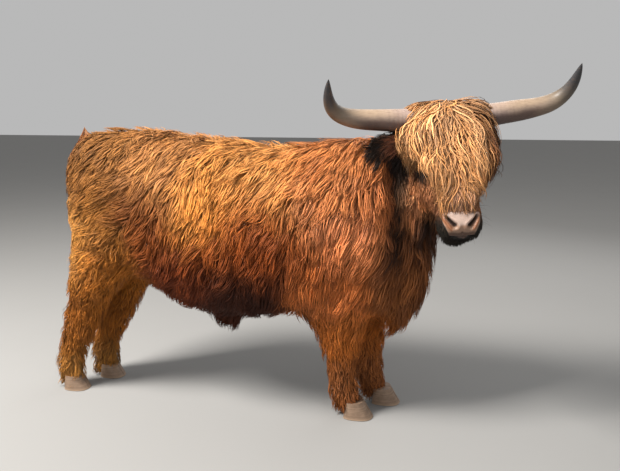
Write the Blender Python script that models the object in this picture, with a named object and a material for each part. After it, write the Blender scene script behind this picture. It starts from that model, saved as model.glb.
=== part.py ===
"""A life-size highland bull, standing square with its head turned to its right.

The body faces +X, its left side is +Y and the floor is z = 0. The outline of every
piece of flesh is that of the coat, out to the tips of the hair. While the shapes are
made, x = 0 lies midway between the fore feet and y = 0 is the body's middle plane; at the
end everything is moved so that the origin is the bottom centre of the whole.
"""

import math

import bmesh
import bpy
import numpy as np
from mathutils import Matrix, Vector

# Driving sizes, in metres.
WITHERS = 1.25  # floor to the top of the coat over the shoulders
WHEELBASE = 1.39  # near fore foot to near hind foot
STANCE = 0.092  # middle plane to the middle of a foot
FAR_FORE_STEP = 0.10  # how far the left fore foot stands ahead of the right one
FAR_HIND_STEP = 0.09
NEAR_FORE_X = -0.06
NEAR_HIND_X = NEAR_FORE_X - WHEELBASE
HAIR_HEM = 0.042  # floor to where the leg hair ends over the hoof

POLL = Vector((0.285, -0.060, 1.309))  # top of the skull, midway between the horns
HEAD_TURN = math.radians(-74)  # from straight ahead, towards the right
HEAD_DROP = math.radians(47)  # nose below level
HEAD_ROLL = math.radians(3.7)  # left side up
HEAD_LENGTH = 0.505
HORN_RADIUS = 0.049
EYE_RADIUS = 0.021

GAP = 0.0005  # between neighbours that touch
FRINGE_LIFT = 0.008  # between the face and the inside of the fringe
VOXEL = 0.013
FLESH_TRIANGLES = 1980
HEAD_TRIANGLES = 660
FRINGE_TRIANGLES = 340
ROOM_TRIANGLES = 220  # of the plain skull that hollows the fringe

GINGER = (0.42, 0.13, 0.035)
GOLD = (0.62, 0.30, 0.10)
BLACK_HAIR = (0.035, 0.022, 0.018)
HORN = (0.72, 0.62, 0.45)
HOOF = (0.20, 0.18, 0.16)
EYE = (0.03, 0.015, 0.01)


# ---------------------------------------------------------------- frames and curves


def axes(turn, drop, roll):
    """Columns: the way the nose points, the animal's left, and out of the forehead."""
    turned = Matrix.Rotation(turn, 3, "Z")
    return turned @ Matrix.Rotation(drop, 3, "Y") @ Matrix.Rotation(roll, 3, "X")


FACE = axes(HEAD_TURN, HEAD_DROP, HEAD_ROLL)
CROWN = axes(HEAD_TURN, 0.0, HEAD_ROLL)


def on_face(point):
    """Place of (along the nose, to the left, out of the forehead), from the poll."""
    return POLL + FACE @ Vector(point)


def on_crown(point):
    """Place of (forwards, to the left, up) of the turned but level head, from the poll."""
    return POLL + CROWN @ Vector(point)


def eased(rows, steps):
    """The rows of numbers joined by a smooth curve, with this many steps from row to row."""
    rows = np.array(rows, float)
    far = np.linalg.norm(np.diff(rows, axis=0), axis=1)
    at = np.concatenate([[0.0], np.cumsum(np.maximum(far, 1e-6))])
    slope = np.gradient(rows, at, axis=0)
    made = []
    for i, width in enumerate(np.diff(at)):
        for t in np.linspace(0, 1, steps, endpoint=False):
            made.append(
                (2 * t**3 - 3 * t**2 + 1) * rows[i]
                + (t**3 - 2 * t**2 + t) * width * slope[i]
                + (3 * t**2 - 2 * t**3) * rows[i + 1]
                + (t**3 - t**2) * width * slope[i + 1]
            )
    return np.array(made + [rows[-1]])


def oval(sides, power):
    """A unit outline as (across, up) pairs: power 2 is an ellipse and more is squarer."""
    turn = np.linspace(0, 2 * np.pi, sides, endpoint=False)
    across, up = np.cos(turn), np.sin(turn)
    return np.stack(
        [
            np.sign(across) * np.abs(across) ** (2 / power),
            np.sign(up) * np.abs(up) ** (2 / power),
        ],
        axis=1,
    )


# ---------------------------------------------------------------- meshes


def new_object(name, points, faces):
    mesh = bpy.data.meshes.new(name)
    mesh.from_pydata([tuple(p) for p in points], [], faces)
    made = bpy.data.objects.new(name, mesh)
    bpy.context.scene.collection.objects.link(made)
    with_outward_faces(made)
    return made


def with_outward_faces(item):
    shape = bmesh.new()
    shape.from_mesh(item.data)
    bmesh.ops.recalc_face_normals(shape, faces=shape.faces)
    shape.to_mesh(item.data)
    shape.free()


def loft(name, rings):
    """A closed tube through rings of equal length, each end closed by a fan."""
    rings = [np.array(ring, float) for ring in rings]
    count = len(rings[0])
    points = np.concatenate(rings + [[rings[0].mean(axis=0)], [rings[-1].mean(axis=0)]])
    first, last = len(rings) * count, len(rings) * count + 1
    faces = []
    for row in range(len(rings) - 1):
        for i in range(count):
            j, here, above = (i + 1) % count, row * count, (row + 1) * count
            faces.append((here + i, here + j, above + j, above + i))
    for i in range(count):
        j = (i + 1) % count
        faces.append((first, j, i))
        faces.append((last, last - 1 - count + i, last - 1 - count + j))
    return new_object(name, points, faces)


def settle(item):
    """Applies every modifier, so that the object's own mesh has its final shape."""
    bpy.context.view_layer.update()
    graph = bpy.context.evaluated_depsgraph_get()
    made = bpy.data.meshes.new_from_object(item.evaluated_get(graph))
    item.modifiers.clear()
    item.data = made
    return item


def remove(item):
    bpy.data.objects.remove(item, do_unlink=True)


def joined(name, pieces):
    """One object holding the meshes of all the pieces, which are used up."""
    shape = bmesh.new()
    for piece in pieces:
        shape.from_mesh(piece.data)
        remove(piece)
    mesh = bpy.data.meshes.new(name)
    shape.to_mesh(mesh)
    shape.free()
    made = bpy.data.objects.new(name, mesh)
    bpy.context.scene.collection.objects.link(made)
    return made


def fused(name, pieces, triangles, voxel=VOXEL, smoothing=6):
    """The pieces grown into one smooth closed body of about this many triangles."""
    made = joined(name, pieces)
    remesh = made.modifiers.new("Fuse", "REMESH")
    remesh.mode = "VOXEL"
    remesh.voxel_size = voxel
    smooth = made.modifiers.new("Soften", "SMOOTH")
    smooth.factor = 0.5
    smooth.iterations = smoothing
    settle(made)
    thin = made.modifiers.new("Thin", "DECIMATE")
    thin.use_collapse_triangulate = True
    thin.ratio = triangles / (2 * len(made.data.polygons))
    return settle(made)


def grown(item, by):
    """A copy of the object whose surface stands this far outside the original's."""
    made = item.copy()
    made.data = item.data.copy()
    bpy.context.scene.collection.objects.link(made)
    shape = bmesh.new()
    shape.from_mesh(made.data)
    shape.normal_update()
    moved = [vertex.co + by * vertex.normal for vertex in shape.verts]
    for vertex, place in zip(shape.verts, moved):
        vertex.co = place
    shape.to_mesh(made.data)
    shape.free()
    return made


def without_crumbs(item):
    """Keeps the largest of the closed pieces that a cut left."""
    shape = bmesh.new()
    shape.from_mesh(item.data)
    bmesh.ops.remove_doubles(shape, verts=shape.verts, dist=1e-6)
    bmesh.ops.triangulate(shape, faces=shape.faces)
    left, groups = set(shape.verts), []
    while left:
        group, edge = set(), [left.pop()]
        while edge:
            vertex = edge.pop()
            group.add(vertex)
            for link in vertex.link_edges:
                other = link.other_vert(vertex)
                if other in left:
                    left.remove(other)
                    edge.append(other)
        groups.append(group)
    groups.sort(key=len)
    for group in groups[:-1]:
        bmesh.ops.delete(shape, geom=list(group), context="VERTS")
    shape.to_mesh(item.data)
    shape.free()
    return item


def boolean(item, other, operation):
    step = item.modifiers.new("Cut", "BOOLEAN")
    step.operation = operation
    step.solver = "EXACT"
    step.object = other
    settle(item)
    return without_crumbs(item)


def clear_of(item, *others):
    """Cuts from the object the room that the others take up, with the gap round it."""
    for other in others:
        cutter = grown(other, GAP)
        boolean(item, cutter, "DIFFERENCE")
        remove(cutter)
    return item


def box(low, high, slant=0.0, about=(0.0, 0.0, 0.0)):
    """A block between two corners, turned about the Y axis through a point."""
    turn = Matrix.Rotation(slant, 3, "Y")
    centre = Vector(about)
    corners = [
        centre + turn @ (Vector((x, y, z)) - centre)
        for x in (low[0], high[0])
        for y in (low[1], high[1])
        for z in (low[2], high[2])
    ]
    sides = [(0, 1, 3, 2), (4, 6, 7, 5), (0, 4, 5, 1), (2, 3, 7, 6), (0, 2, 6, 4), (1, 5, 7, 3)]
    return new_object("block", corners, sides)


def part_off(body, name, low, high, slant=0.0, about=(0.0, 0.0, 0.0)):
    """Takes the piece inside a block from the body and leaves a thin cut between them."""
    piece = body.copy()
    piece.data = body.data.copy()
    piece.name = name
    bpy.context.scene.collection.objects.link(piece)
    inside = box(low, high, slant, about)
    boolean(piece, inside, "INTERSECT")
    outside = box([v - GAP for v in low], [v + GAP for v in high], slant, about)
    boolean(body, outside, "DIFFERENCE")
    remove(inside)
    remove(outside)
    return piece


def paint(item, colour, roughness):
    """Gives the object a material of its own, named for it."""
    finish = bpy.data.materials.new(item.name)
    finish.use_nodes = True
    shader = finish.node_tree.nodes["Principled BSDF"]
    shader.inputs["Base Color"].default_value = (*colour, 1.0)
    shader.inputs["Roughness"].default_value = roughness
    shader.inputs["Metallic"].default_value = 0.0
    item.data.materials.clear()
    item.data.materials.append(finish)
    item.data.shade_smooth()
    item.data.set_sharp_from_angle(angle=math.radians(50))


# ---------------------------------------------------------------- flesh


def level_rings(rows, steps=4, sides=24, power=2.2):
    """Level ovals from rows of (height, back, front, inner side, outer side)."""
    unit = oval(sides, power)
    for z, back, front, inner, outer in eased(rows, steps):
        yield [
            ((front + back) / 2 + u * (front - back) / 2, (inner + outer) / 2 + v * (outer - inner) / 2, z)
            for u, v in unit
        ]


def trunk():
    """The barrel from rump to breast: upright ovals along the body."""
    rows = [  # x, top, bottom, half width
        (-1.468, 1.06, 0.86, 0.05),
        (-1.445, 1.15, 0.74, 0.10),
        (-1.40, 1.215, 0.67, 0.148),
        (-1.33, 1.255, 0.63, 0.205),
        (-1.23, 1.268, 0.60, 0.262),
        (-1.10, 1.271, 0.585, 0.285),
        (-0.99, 1.265, 0.54, 0.302),
        (-0.87, 1.252, 0.475, 0.328),
        (-0.72, 1.235, 0.443, 0.35),
        (-0.55, 1.213, 0.438, 0.356),
        (-0.36, 1.206, 0.46, 0.343),
        (-0.20, 1.230, 0.465, 0.32),
        (-0.06, WITHERS, 0.465, 0.302),
        (0.05, 1.242, 0.475, 0.272),
        (0.115, 1.195, 0.510, 0.205),
        (0.165, 1.10, 0.56, 0.14),
        (0.215, 0.955, 0.655, 0.09),
    ]
    unit = oval(32, 2.35)
    return loft(
        "trunk",
        [
            [(x, half * u, (top + low) / 2 + v * (top - low) / 2) for u, v in unit]
            for x, top, low, half in eased(rows, 3)
        ],
    )


def along(name, rows, steps=4, sides=24, power=2.0, across=(0.0, 1.0, 0.0)):
    """A tube along a path, from rows of (x, y, z, half width, half depth)."""
    rows = eased(rows, steps)
    unit = oval(sides, power)
    heading = np.gradient(rows[:, :3], axis=0)
    rings = []
    for (x, y, z, wide, deep), way in zip(rows, heading):
        way = Vector(way).normalized()
        side = Vector(across)
        side = (side - way * side.dot(way)).normalized()
        up = way.cross(side)
        rings.append([Vector((x, y, z)) + side * wide * u + up * deep * v for u, v in unit])
    return loft(name, rings)


def neck():
    """From inside the shoulders to the back of the skull, with the bull's high crest."""
    return along(
        "neck",
        [
            (-0.16, 0.00, 0.905, 0.27, 0.33),
            (-0.02, 0.00, 0.935, 0.25, 0.30),
            (0.08, 0.015, 0.985, 0.200, 0.265),
            (0.155, 0.03, 1.05, 0.155, 0.225),
            (0.22, 0.035, 1.11, 0.135, 0.19),
            (0.27, 0.00, 1.15, 0.125, 0.165),
        ],
    )


def brisket():
    """The loose chest and its fringe, hanging from the throat to between the legs."""
    return along(
        "brisket",
        [
            (0.205, 0.00, 0.97, 0.14, 0.085),
            (0.170, 0.00, 0.82, 0.165, 0.078),
            (0.166, 0.00, 0.70, 0.16, 0.087),
            (0.152, 0.00, 0.61, 0.14, 0.087),
            (0.125, 0.00, 0.52, 0.105, 0.080),
            (0.098, 0.00, 0.44, 0.06, 0.050),
            (0.076, 0.00, 0.382, 0.02, 0.018),
        ],
    )


def sheath():
    """The tuft under the belly."""
    rows = [
        (0.53, -0.83, -0.54, -0.10, 0.10),
        (0.44, -0.79, -0.57, -0.075, 0.075),
        (0.395, -0.76, -0.61, -0.05, 0.05),
        (0.345, -0.73, -0.655, -0.028, 0.028),
        (0.312, -0.713, -0.70, -0.008, 0.008),
    ]
    return loft("sheath", level_rings(rows, sides=16))


FORE_LEG = [  # height, back and front from the foot's middle, inner and outer side
    (HAIR_HEM, -0.100, 0.052, 0.033, 0.151),
    (0.09, -0.126, 0.034, 0.030, 0.154),
    (0.14, -0.138, 0.012, 0.029, 0.155),
    (0.20, -0.144, 0.006, 0.031, 0.152),
    (0.26, -0.150, 0.012, 0.032, 0.153),
    (0.31, -0.160, 0.020, 0.030, 0.159),
    (0.36, -0.175, 0.028, 0.028, 0.168),
    (0.43, -0.205, 0.045, 0.026, 0.188),
    (0.53, -0.24, 0.085, 0.024, 0.228),
    (0.64, -0.255, 0.145, 0.026, 0.27),
    (0.80, -0.235, 0.185, 0.036, 0.30),
    (0.95, -0.15, 0.15, 0.05, 0.275),
]
HIND_LEG = [
    (HAIR_HEM, -0.082, 0.056, 0.036, 0.148),
    (0.11, -0.106, 0.052, 0.032, 0.152),
    (0.17, -0.100, 0.058, 0.031, 0.154),
    (0.22, -0.092, 0.075, 0.031, 0.156),
    (0.32, -0.060, 0.15, 0.028, 0.168),
    (0.44, -0.020, 0.208, 0.024, 0.195),
    (0.53, 0.004, 0.28, 0.022, 0.222),
    (0.60, 0.022, 0.36, 0.020, 0.245),
    (0.72, 0.048, 0.41, 0.016, 0.268),
    (0.86, 0.066, 0.44, 0.020, 0.275),
    (0.98, 0.10, 0.43, 0.030, 0.262),
]
LEGS = {  # the foot's middle, how far the step ahead carries up the leg, side, rows
    "fore_right": (NEAR_FORE_X, 0.0, -1, FORE_LEG),
    "fore_left": (NEAR_FORE_X, FAR_FORE_STEP, 1, FORE_LEG),
    "hind_right": (NEAR_HIND_X, 0.0, -1, HIND_LEG),
    "hind_left": (NEAR_HIND_X, FAR_HIND_STEP, 1, HIND_LEG),
}
STEP_FADES_AT = 1.6  # height at which a leg that stands ahead would have no step left


def leg(name):
    foot, step, side, rows = LEGS[name]
    placed = []
    for z, back, front, inner, outer in rows:
        ahead = foot + step * max(0.0, 1 - z / STEP_FADES_AT)
        reach = sorted((side * inner, side * outer))
        placed.append((z, ahead + back, ahead + front, *reach))
    return loft(name, level_rings(placed))


def tail():
    """The dock and its long switch, hanging between the thighs."""
    hang = along(
        "tail",
        [
            (-1.32, 0.0, 1.215, 0.045, 0.035),
            (-1.402, 0.0, 1.185, 0.05, 0.04),
            (-1.440, 0.0, 1.08, 0.052, 0.043),
            (-1.445, 0.0, 0.93, 0.056, 0.045),
            (-1.440, 0.0, 0.76, 0.058, 0.045),
            (-1.435, 0.0, 0.60, 0.053, 0.045),
            (-1.43, 0.0, 0.46, 0.038, 0.036),
            (-1.425, 0.0, 0.36, 0.012, 0.014),
        ],
        sides=16,
    )
    flick = along(
        "flick",
        [
            (-1.37, 0.0, 1.20, 0.030, 0.035),
            (-1.385, 0.0, 1.255, 0.022, 0.024),
            (-1.397, 0.0, 1.305, 0.006, 0.007),
        ],
        sides=12,
    )
    return fused("tail", [hang, flick], 330, voxel=0.009, smoothing=3)


# ---------------------------------------------------------------- head


def face_rings(rows, steps, sides, power):
    """Rings square to the nose, from rows of (along, top, bottom, right side, left side)."""
    unit = oval(sides, power)
    for s, top, low, right, left in eased(rows, steps):
        yield [
            on_face((s, (left + right) / 2 + u * (left - right) / 2, (top + low) / 2 + v * (top - low) / 2))
            for u, v in unit
        ]


def even(rows):
    """Rows of (along, top, bottom, half width) with both sides written out."""
    return [(s, top, low, -half, half) for s, top, low, half in rows]


def skull(triangles):
    """Poll, broad forehead, deep cheeks, narrowing face and square muzzle."""
    rows = [
        (-0.055, -0.06, -0.15, 0.06),
        (-0.03, -0.02, -0.19, 0.10),
        (0.02, 0.010, -0.225, 0.128),
        (0.08, 0.014, -0.252, 0.142),
        (0.14, 0.012, -0.268, 0.148),
        (0.20, 0.006, -0.258, 0.142),
        (0.27, -0.004, -0.220, 0.116),
        (0.34, -0.008, -0.178, 0.091),
        (0.40, -0.008, -0.162, 0.085),
        (0.445, -0.012, -0.156, 0.087),
        (0.48, -0.022, -0.150, 0.081),
        (HEAD_LENGTH, -0.045, -0.128, 0.058),
    ]
    block = loft("skull", face_rings(even(rows), 3, 28, 2.35))
    jaw = [
        (0.33, -0.10, -0.222, 0.054),
        (0.38, -0.10, -0.243, 0.066),
        (0.42, -0.105, -0.243, 0.066),
        (0.46, -0.115, -0.210, 0.050),
    ]
    chin = loft("chin", face_rings(even(jaw), 3, 16, 2.2))
    return fused("head", [block, chin], triangles, voxel=0.009, smoothing=3)


def fringe():
    """The mop of long hair that hangs from the poll over the eyes to the nose."""
    rows = [  # its right side stops short, over the eye
        (-0.115, 0.00, -0.07, -0.081, 0.059),
        (-0.085, 0.042, -0.10, -0.141, 0.119),
        (-0.03, 0.078, -0.115, -0.189, 0.167),
        (0.04, 0.096, -0.12, -0.209, 0.187),
        (0.12, 0.100, -0.12, -0.213, 0.191),
        (0.20, 0.090, -0.10, -0.198, 0.183),
        (0.28, 0.070, -0.08, -0.138, 0.164),
        (0.35, 0.052, -0.055, -0.100, 0.134),
        (0.41, 0.034, -0.035, -0.087, 0.104),
        (0.455, 0.012, -0.02, -0.060, 0.059),
    ]
    mop = loft("mop", face_rings(rows, 3, 28, 2.3))
    return fused("fringe", [mop], FRINGE_TRIANGLES, voxel=0.012, smoothing=4)


def bezier(points, t):
    a, b, c, d = (np.array(p) for p in points)
    return (1 - t) ** 3 * a + 3 * t * (1 - t) ** 2 * b + 3 * t**2 * (1 - t) * c + t**3 * d


def horn(name, side):
    """Straight out from the poll, then curving forwards and up to a point."""
    route = [(0.0, 0.095, 0.0), (0.033, 0.40, 0.027), (-0.008, 0.499, 0.011), (0.180, 0.481, 0.181)]
    count, sides = 13, 12
    spots = [bezier(route, t) * (1, side, 1) for t in np.linspace(0, 1, count)]
    heading = np.gradient(np.array(spots), axis=0)
    rings = []
    for i, (spot, way) in enumerate(zip(spots, heading)):
        t = i / (count - 1)
        radius = HORN_RADIUS * (1 - 0.30 * t) * max(0.07, 1 - t**3.2) ** 0.75
        way = Vector(way).normalized()
        up = Vector((0, 0, 1))
        up = (up - way * up.dot(way)).normalized()
        fore = way.cross(up)
        turns = [2 * math.pi * k / sides for k in range(sides)]
        rings.append(
            [on_crown(Vector(spot) + radius * (math.cos(a) * up + math.sin(a) * fore)) for a in turns]
        )
    return loft(name, rings)


def ear(name, side, path, sizes):
    """A broad leaf that hangs under the horn, hairy to its rim."""
    rows = eased([(*place, *size) for place, size in zip(path, sizes)], 2)
    unit = oval(10, 2.0)
    rings = []
    heading = np.gradient(rows[:, :3], axis=0)
    for (f, l, u, tall, thick), way in zip(rows, heading):
        way = Vector(way).normalized()
        up = Vector((0, 0, 1))
        up = (up - way * up.dot(way)).normalized()
        fore = way.cross(up)
        centre = Vector((f, l, u))
        ring = [centre + up * tall * a + fore * thick * b for a, b in unit]
        rings.append([on_crown((p.x, side * p.y, p.z)) for p in ring])
    return loft(name, rings)


def eye(name, side):
    shape = bmesh.new()
    bmesh.ops.create_uvsphere(shape, u_segments=10, v_segments=7, radius=EYE_RADIUS)
    mesh = bpy.data.meshes.new(name)
    shape.to_mesh(mesh)
    shape.free()
    mesh.transform(Matrix.Translation(on_face((0.198, side * 0.106, -0.052))))
    made = bpy.data.objects.new(name, mesh)
    bpy.context.scene.collection.objects.link(made)
    return made


def claw(name, foot_x, foot_y, outward, length, width, height):
    """Half of a cloven hoof: flat sole, straight inner wall, curved outer wall, sloping toe."""
    cleft = 0.002
    rings = []
    for share in (0.0, 0.12, 1.0):
        z = share * height
        toe = length / 2 - z * 0.62
        heel = -length / 2 + z * 0.10
        if share == 0.0:
            toe, heel = toe - 0.003, heel + 0.003
        bulge = width * (1.0 - 0.10 * share) - (0.002 if share == 0.0 else 0.0)
        ring = []
        for k in range(9):
            along_foot = k / 8
            curve = max(0.0, 1 - abs((2 * along_foot - 0.86) / 1.14) ** 2.6) ** (1 / 2.2)
            x = heel + (toe - heel) * along_foot
            ring.append((foot_x + x, foot_y + outward * (cleft + max(0.004, bulge * curve)), z))
        for k in (8, 0):
            x = heel + (toe - heel) * k / 8
            ring.append((foot_x + x, foot_y + outward * cleft, z))
        rings.append(ring)
    return loft(name, rings)


# ---------------------------------------------------------------- the whole animal


def head_pieces():
    horns = [horn("horn_right", -1), horn("horn_left", 1)]
    eyes = [eye("eye_right", -1), eye("eye_left", 1)]
    head = skull(HEAD_TRIANGLES)
    plain = grown(head, 0.0)
    clear_of(head, *horns, *eyes)
    sizes = [(0.035, 0.022), (0.055, 0.022), (0.064, 0.020), (0.055, 0.017), (0.018, 0.010)]
    right = [(-0.045, 0.10, -0.075), (0.0, 0.165, -0.095), (0.045, 0.23, -0.102), (0.075, 0.29, -0.10), (0.09, 0.342, -0.092)]
    left = [(-0.075, 0.10, -0.075), (-0.125, 0.145, -0.088), (-0.175, 0.175, -0.095), (-0.225, 0.20, -0.10), (-0.26, 0.215, -0.10)]
    ears = [
        clear_of(ear("ear_right", -1, right, sizes), head, *horns),
        clear_of(ear("ear_left", 1, left, sizes), head, *horns),
    ]
    skull_room = skull(ROOM_TRIANGLES)
    hollow = grown(skull_room, FRINGE_LIFT)
    remove(skull_room)
    mop = fringe()
    whole_mop = grown(mop, 0.0)
    clear_of(mop, hollow, *horns, *eyes, *ears)
    remove(hollow)
    return head, [plain, whole_mop], horns, eyes, ears, mop


def hooves():
    made = []
    for name, (foot, step, side, _) in LEGS.items():
        fore = name.startswith("fore")
        length, width, height = (0.132, 0.056, 0.075) if fore else (0.118, 0.051, 0.07)
        forward = 0.012 if fore else 0.006
        for which, outward in (("inner", -side), ("outer", side)):
            made.append(
                claw(
                    f"hoof_{name}_{which}",
                    foot + step + forward,
                    side * STANCE,
                    outward,
                    length,
                    width,
                    height,
                )
            )
    return made


def flesh_pieces(plain_shapes, ears, claws):
    """The body in one, cleared of what sits in it, then parted where its parts meet."""
    switch = tail()
    shapes = [trunk(), neck(), brisket(), sheath(), *[leg(name) for name in LEGS]]
    body = fused("body", shapes, FLESH_TRIANGLES)
    clear_of(body, *plain_shapes, *ears, switch, *claws)
    made = [switch]
    knee, hock, wide = 0.35, 0.40, 0.6
    elbow, stifle = 0.59, 0.85
    for side, y in (("right", (-wide, -0.0003)), ("left", (0.0003, wide))):
        made.append(part_off(body, f"fore_shank_{side}", (-0.40, y[0], -0.1), (0.30, y[1], knee)))
        made.append(part_off(body, f"hind_shank_{side}", (-1.70, y[0], -0.1), (-1.00, y[1], hock)))
    for side, y in (("right", (-wide, -0.03)), ("left", (0.03, wide))):
        made.append(part_off(body, f"forearm_{side}", (-0.305, y[0], knee - 0.1), (0.115, y[1], elbow)))
    for side, y in (("right", (-wide, -0.0003)), ("left", (0.0003, wide))):
        made.append(part_off(body, f"thigh_{side}", (-1.70, y[0], hock - 0.1), (-1.03, y[1], stifle)))
    made.append(part_off(body, "sheath", (-0.90, -0.2, 0.2), (-0.50, 0.2, 0.425)))
    collar, slope = (0.05, 0.0, 1.0), math.radians(-16)
    made.append(part_off(body, "neck", (0.05, -wide, 0.78), (0.80, wide, 1.70), slope, collar))
    made.append(part_off(body, "brisket", (0.10, -wide, 0.30), (0.60, wide, 0.775)))
    made.append(part_off(body, "shoulders", (-0.34, -wide, 0.3), (0.60, wide, 1.6)))
    made.append(part_off(body, "barrel", (-0.985, -wide, 0.3), (-0.33, wide, 1.6)))
    body.name = "rump"
    return [*made, body]


def centre_on_floor(items):
    """Moves the whole so that the origin is the bottom centre of its box."""
    points = [vertex.co for item in items for vertex in item.data.vertices]
    low = [min(p[i] for p in points) for i in range(3)]
    high = [max(p[i] for p in points) for i in range(3)]
    shift = Vector((-(low[0] + high[0]) / 2, -(low[1] + high[1]) / 2, -low[2]))
    for item in items:
        item.data.transform(Matrix.Translation(shift))


def main():
    for old in list(bpy.data.objects):
        bpy.data.objects.remove(old, do_unlink=True)
    head, plain_shapes, horns, eyes, ears, mop = head_pieces()
    claws = hooves()
    flesh = flesh_pieces(plain_shapes, ears, claws)
    for shape in plain_shapes:
        remove(shape)
    hairy = [head, *flesh]
    everything = [*hairy, *ears, mop, *horns, *eyes, *claws]
    for item in everything:
        without_crumbs(item)
        with_outward_faces(item)
    centre_on_floor(everything)
    finishes = ((hairy, GINGER, 0.8), (ears, BLACK_HAIR, 0.85), ([mop], GOLD, 0.75))
    finishes += ((horns, HORN, 0.35), (eyes, EYE, 0.1), (claws, HOOF, 0.5))
    for items, colour, roughness in finishes:
        for item in items:
            paint(item, colour, roughness)


main()
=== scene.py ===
"""Looks of a life-size highland bull that stands with its head turned to its right.

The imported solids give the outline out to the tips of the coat. Here one skin replaces them,
set in by the depth of the hair, and the coat grows on it as solid tapered locks that follow
the lie of the hair. Horns, hooves and eyes are pieces of their own.
"""

import logging
import math
from dataclasses import dataclass, field
from enum import Enum
from typing import Mapping, Optional, Sequence, Union

import bmesh
import bpy
import numpy as np
from mathutils import Matrix, Vector
from mathutils.bvhtree import BVHTree
from mathutils.kdtree import KDTree

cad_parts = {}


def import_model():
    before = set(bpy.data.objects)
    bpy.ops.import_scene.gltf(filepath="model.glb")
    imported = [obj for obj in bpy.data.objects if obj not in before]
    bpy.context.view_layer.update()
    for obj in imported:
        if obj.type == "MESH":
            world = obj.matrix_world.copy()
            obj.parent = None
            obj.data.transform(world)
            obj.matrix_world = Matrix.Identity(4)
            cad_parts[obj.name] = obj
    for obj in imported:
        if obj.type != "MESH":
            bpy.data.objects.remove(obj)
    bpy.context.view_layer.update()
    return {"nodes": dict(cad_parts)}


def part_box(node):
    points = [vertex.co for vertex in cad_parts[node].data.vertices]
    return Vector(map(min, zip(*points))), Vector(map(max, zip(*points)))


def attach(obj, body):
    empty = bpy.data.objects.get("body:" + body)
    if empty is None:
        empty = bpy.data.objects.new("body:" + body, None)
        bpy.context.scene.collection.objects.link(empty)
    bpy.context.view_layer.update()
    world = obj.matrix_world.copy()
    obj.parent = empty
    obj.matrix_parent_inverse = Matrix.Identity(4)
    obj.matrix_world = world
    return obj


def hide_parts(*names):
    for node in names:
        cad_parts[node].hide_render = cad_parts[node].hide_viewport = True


LOG = logging.getLogger("highland_bull")
BODY = "root"
BAKE_MAP = "OFBake"
MOST_TRIANGLES = 185_000  # in one piece
DEPTH, LENGTH, WIDTH, CURL, SPACING = 0, 1, 2, 3, 5  # columns of a table of hair
LIE = slice(7, 10)
Colour = tuple[float, float, float]
Triple = tuple[float, float, float]
Array = np.ndarray
Rows = Union[np.ndarray, Sequence[Triple], Triple]
Item = bpy.types.Object
Material = bpy.types.Material
Mesh = bpy.types.Mesh
Node = bpy.types.Node
Tree = bpy.types.NodeTree


# ---- node graphs


class Link:
    """An output socket, so that shader maths reads as Python expressions."""

    def __init__(self, graph: "Graph", socket: bpy.types.NodeSocket) -> None:
        """Keeps the socket and the graph that it belongs to."""
        self.graph = graph
        self.socket = socket

    def __add__(self, other: "Value") -> "Link":
        """Sum."""
        return self.graph.math("ADD", self, other)

    __radd__ = __add__

    def __sub__(self, other: "Value") -> "Link":
        """Difference."""
        return self.graph.math("SUBTRACT", self, other)

    def __rsub__(self, other: "Value") -> "Link":
        """Difference from a number."""
        return self.graph.math("SUBTRACT", other, self)

    def __mul__(self, other: "Value") -> "Link":
        """Product."""
        return self.graph.math("MULTIPLY", self, other)

    __rmul__ = __mul__

    def __pow__(self, other: "Value") -> "Link":
        """Power."""
        return self.graph.math("POWER", self, other)


Value = Union[Link, bpy.types.NodeSocket, float, int, str, Sequence[float], bpy.types.ID]


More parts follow.
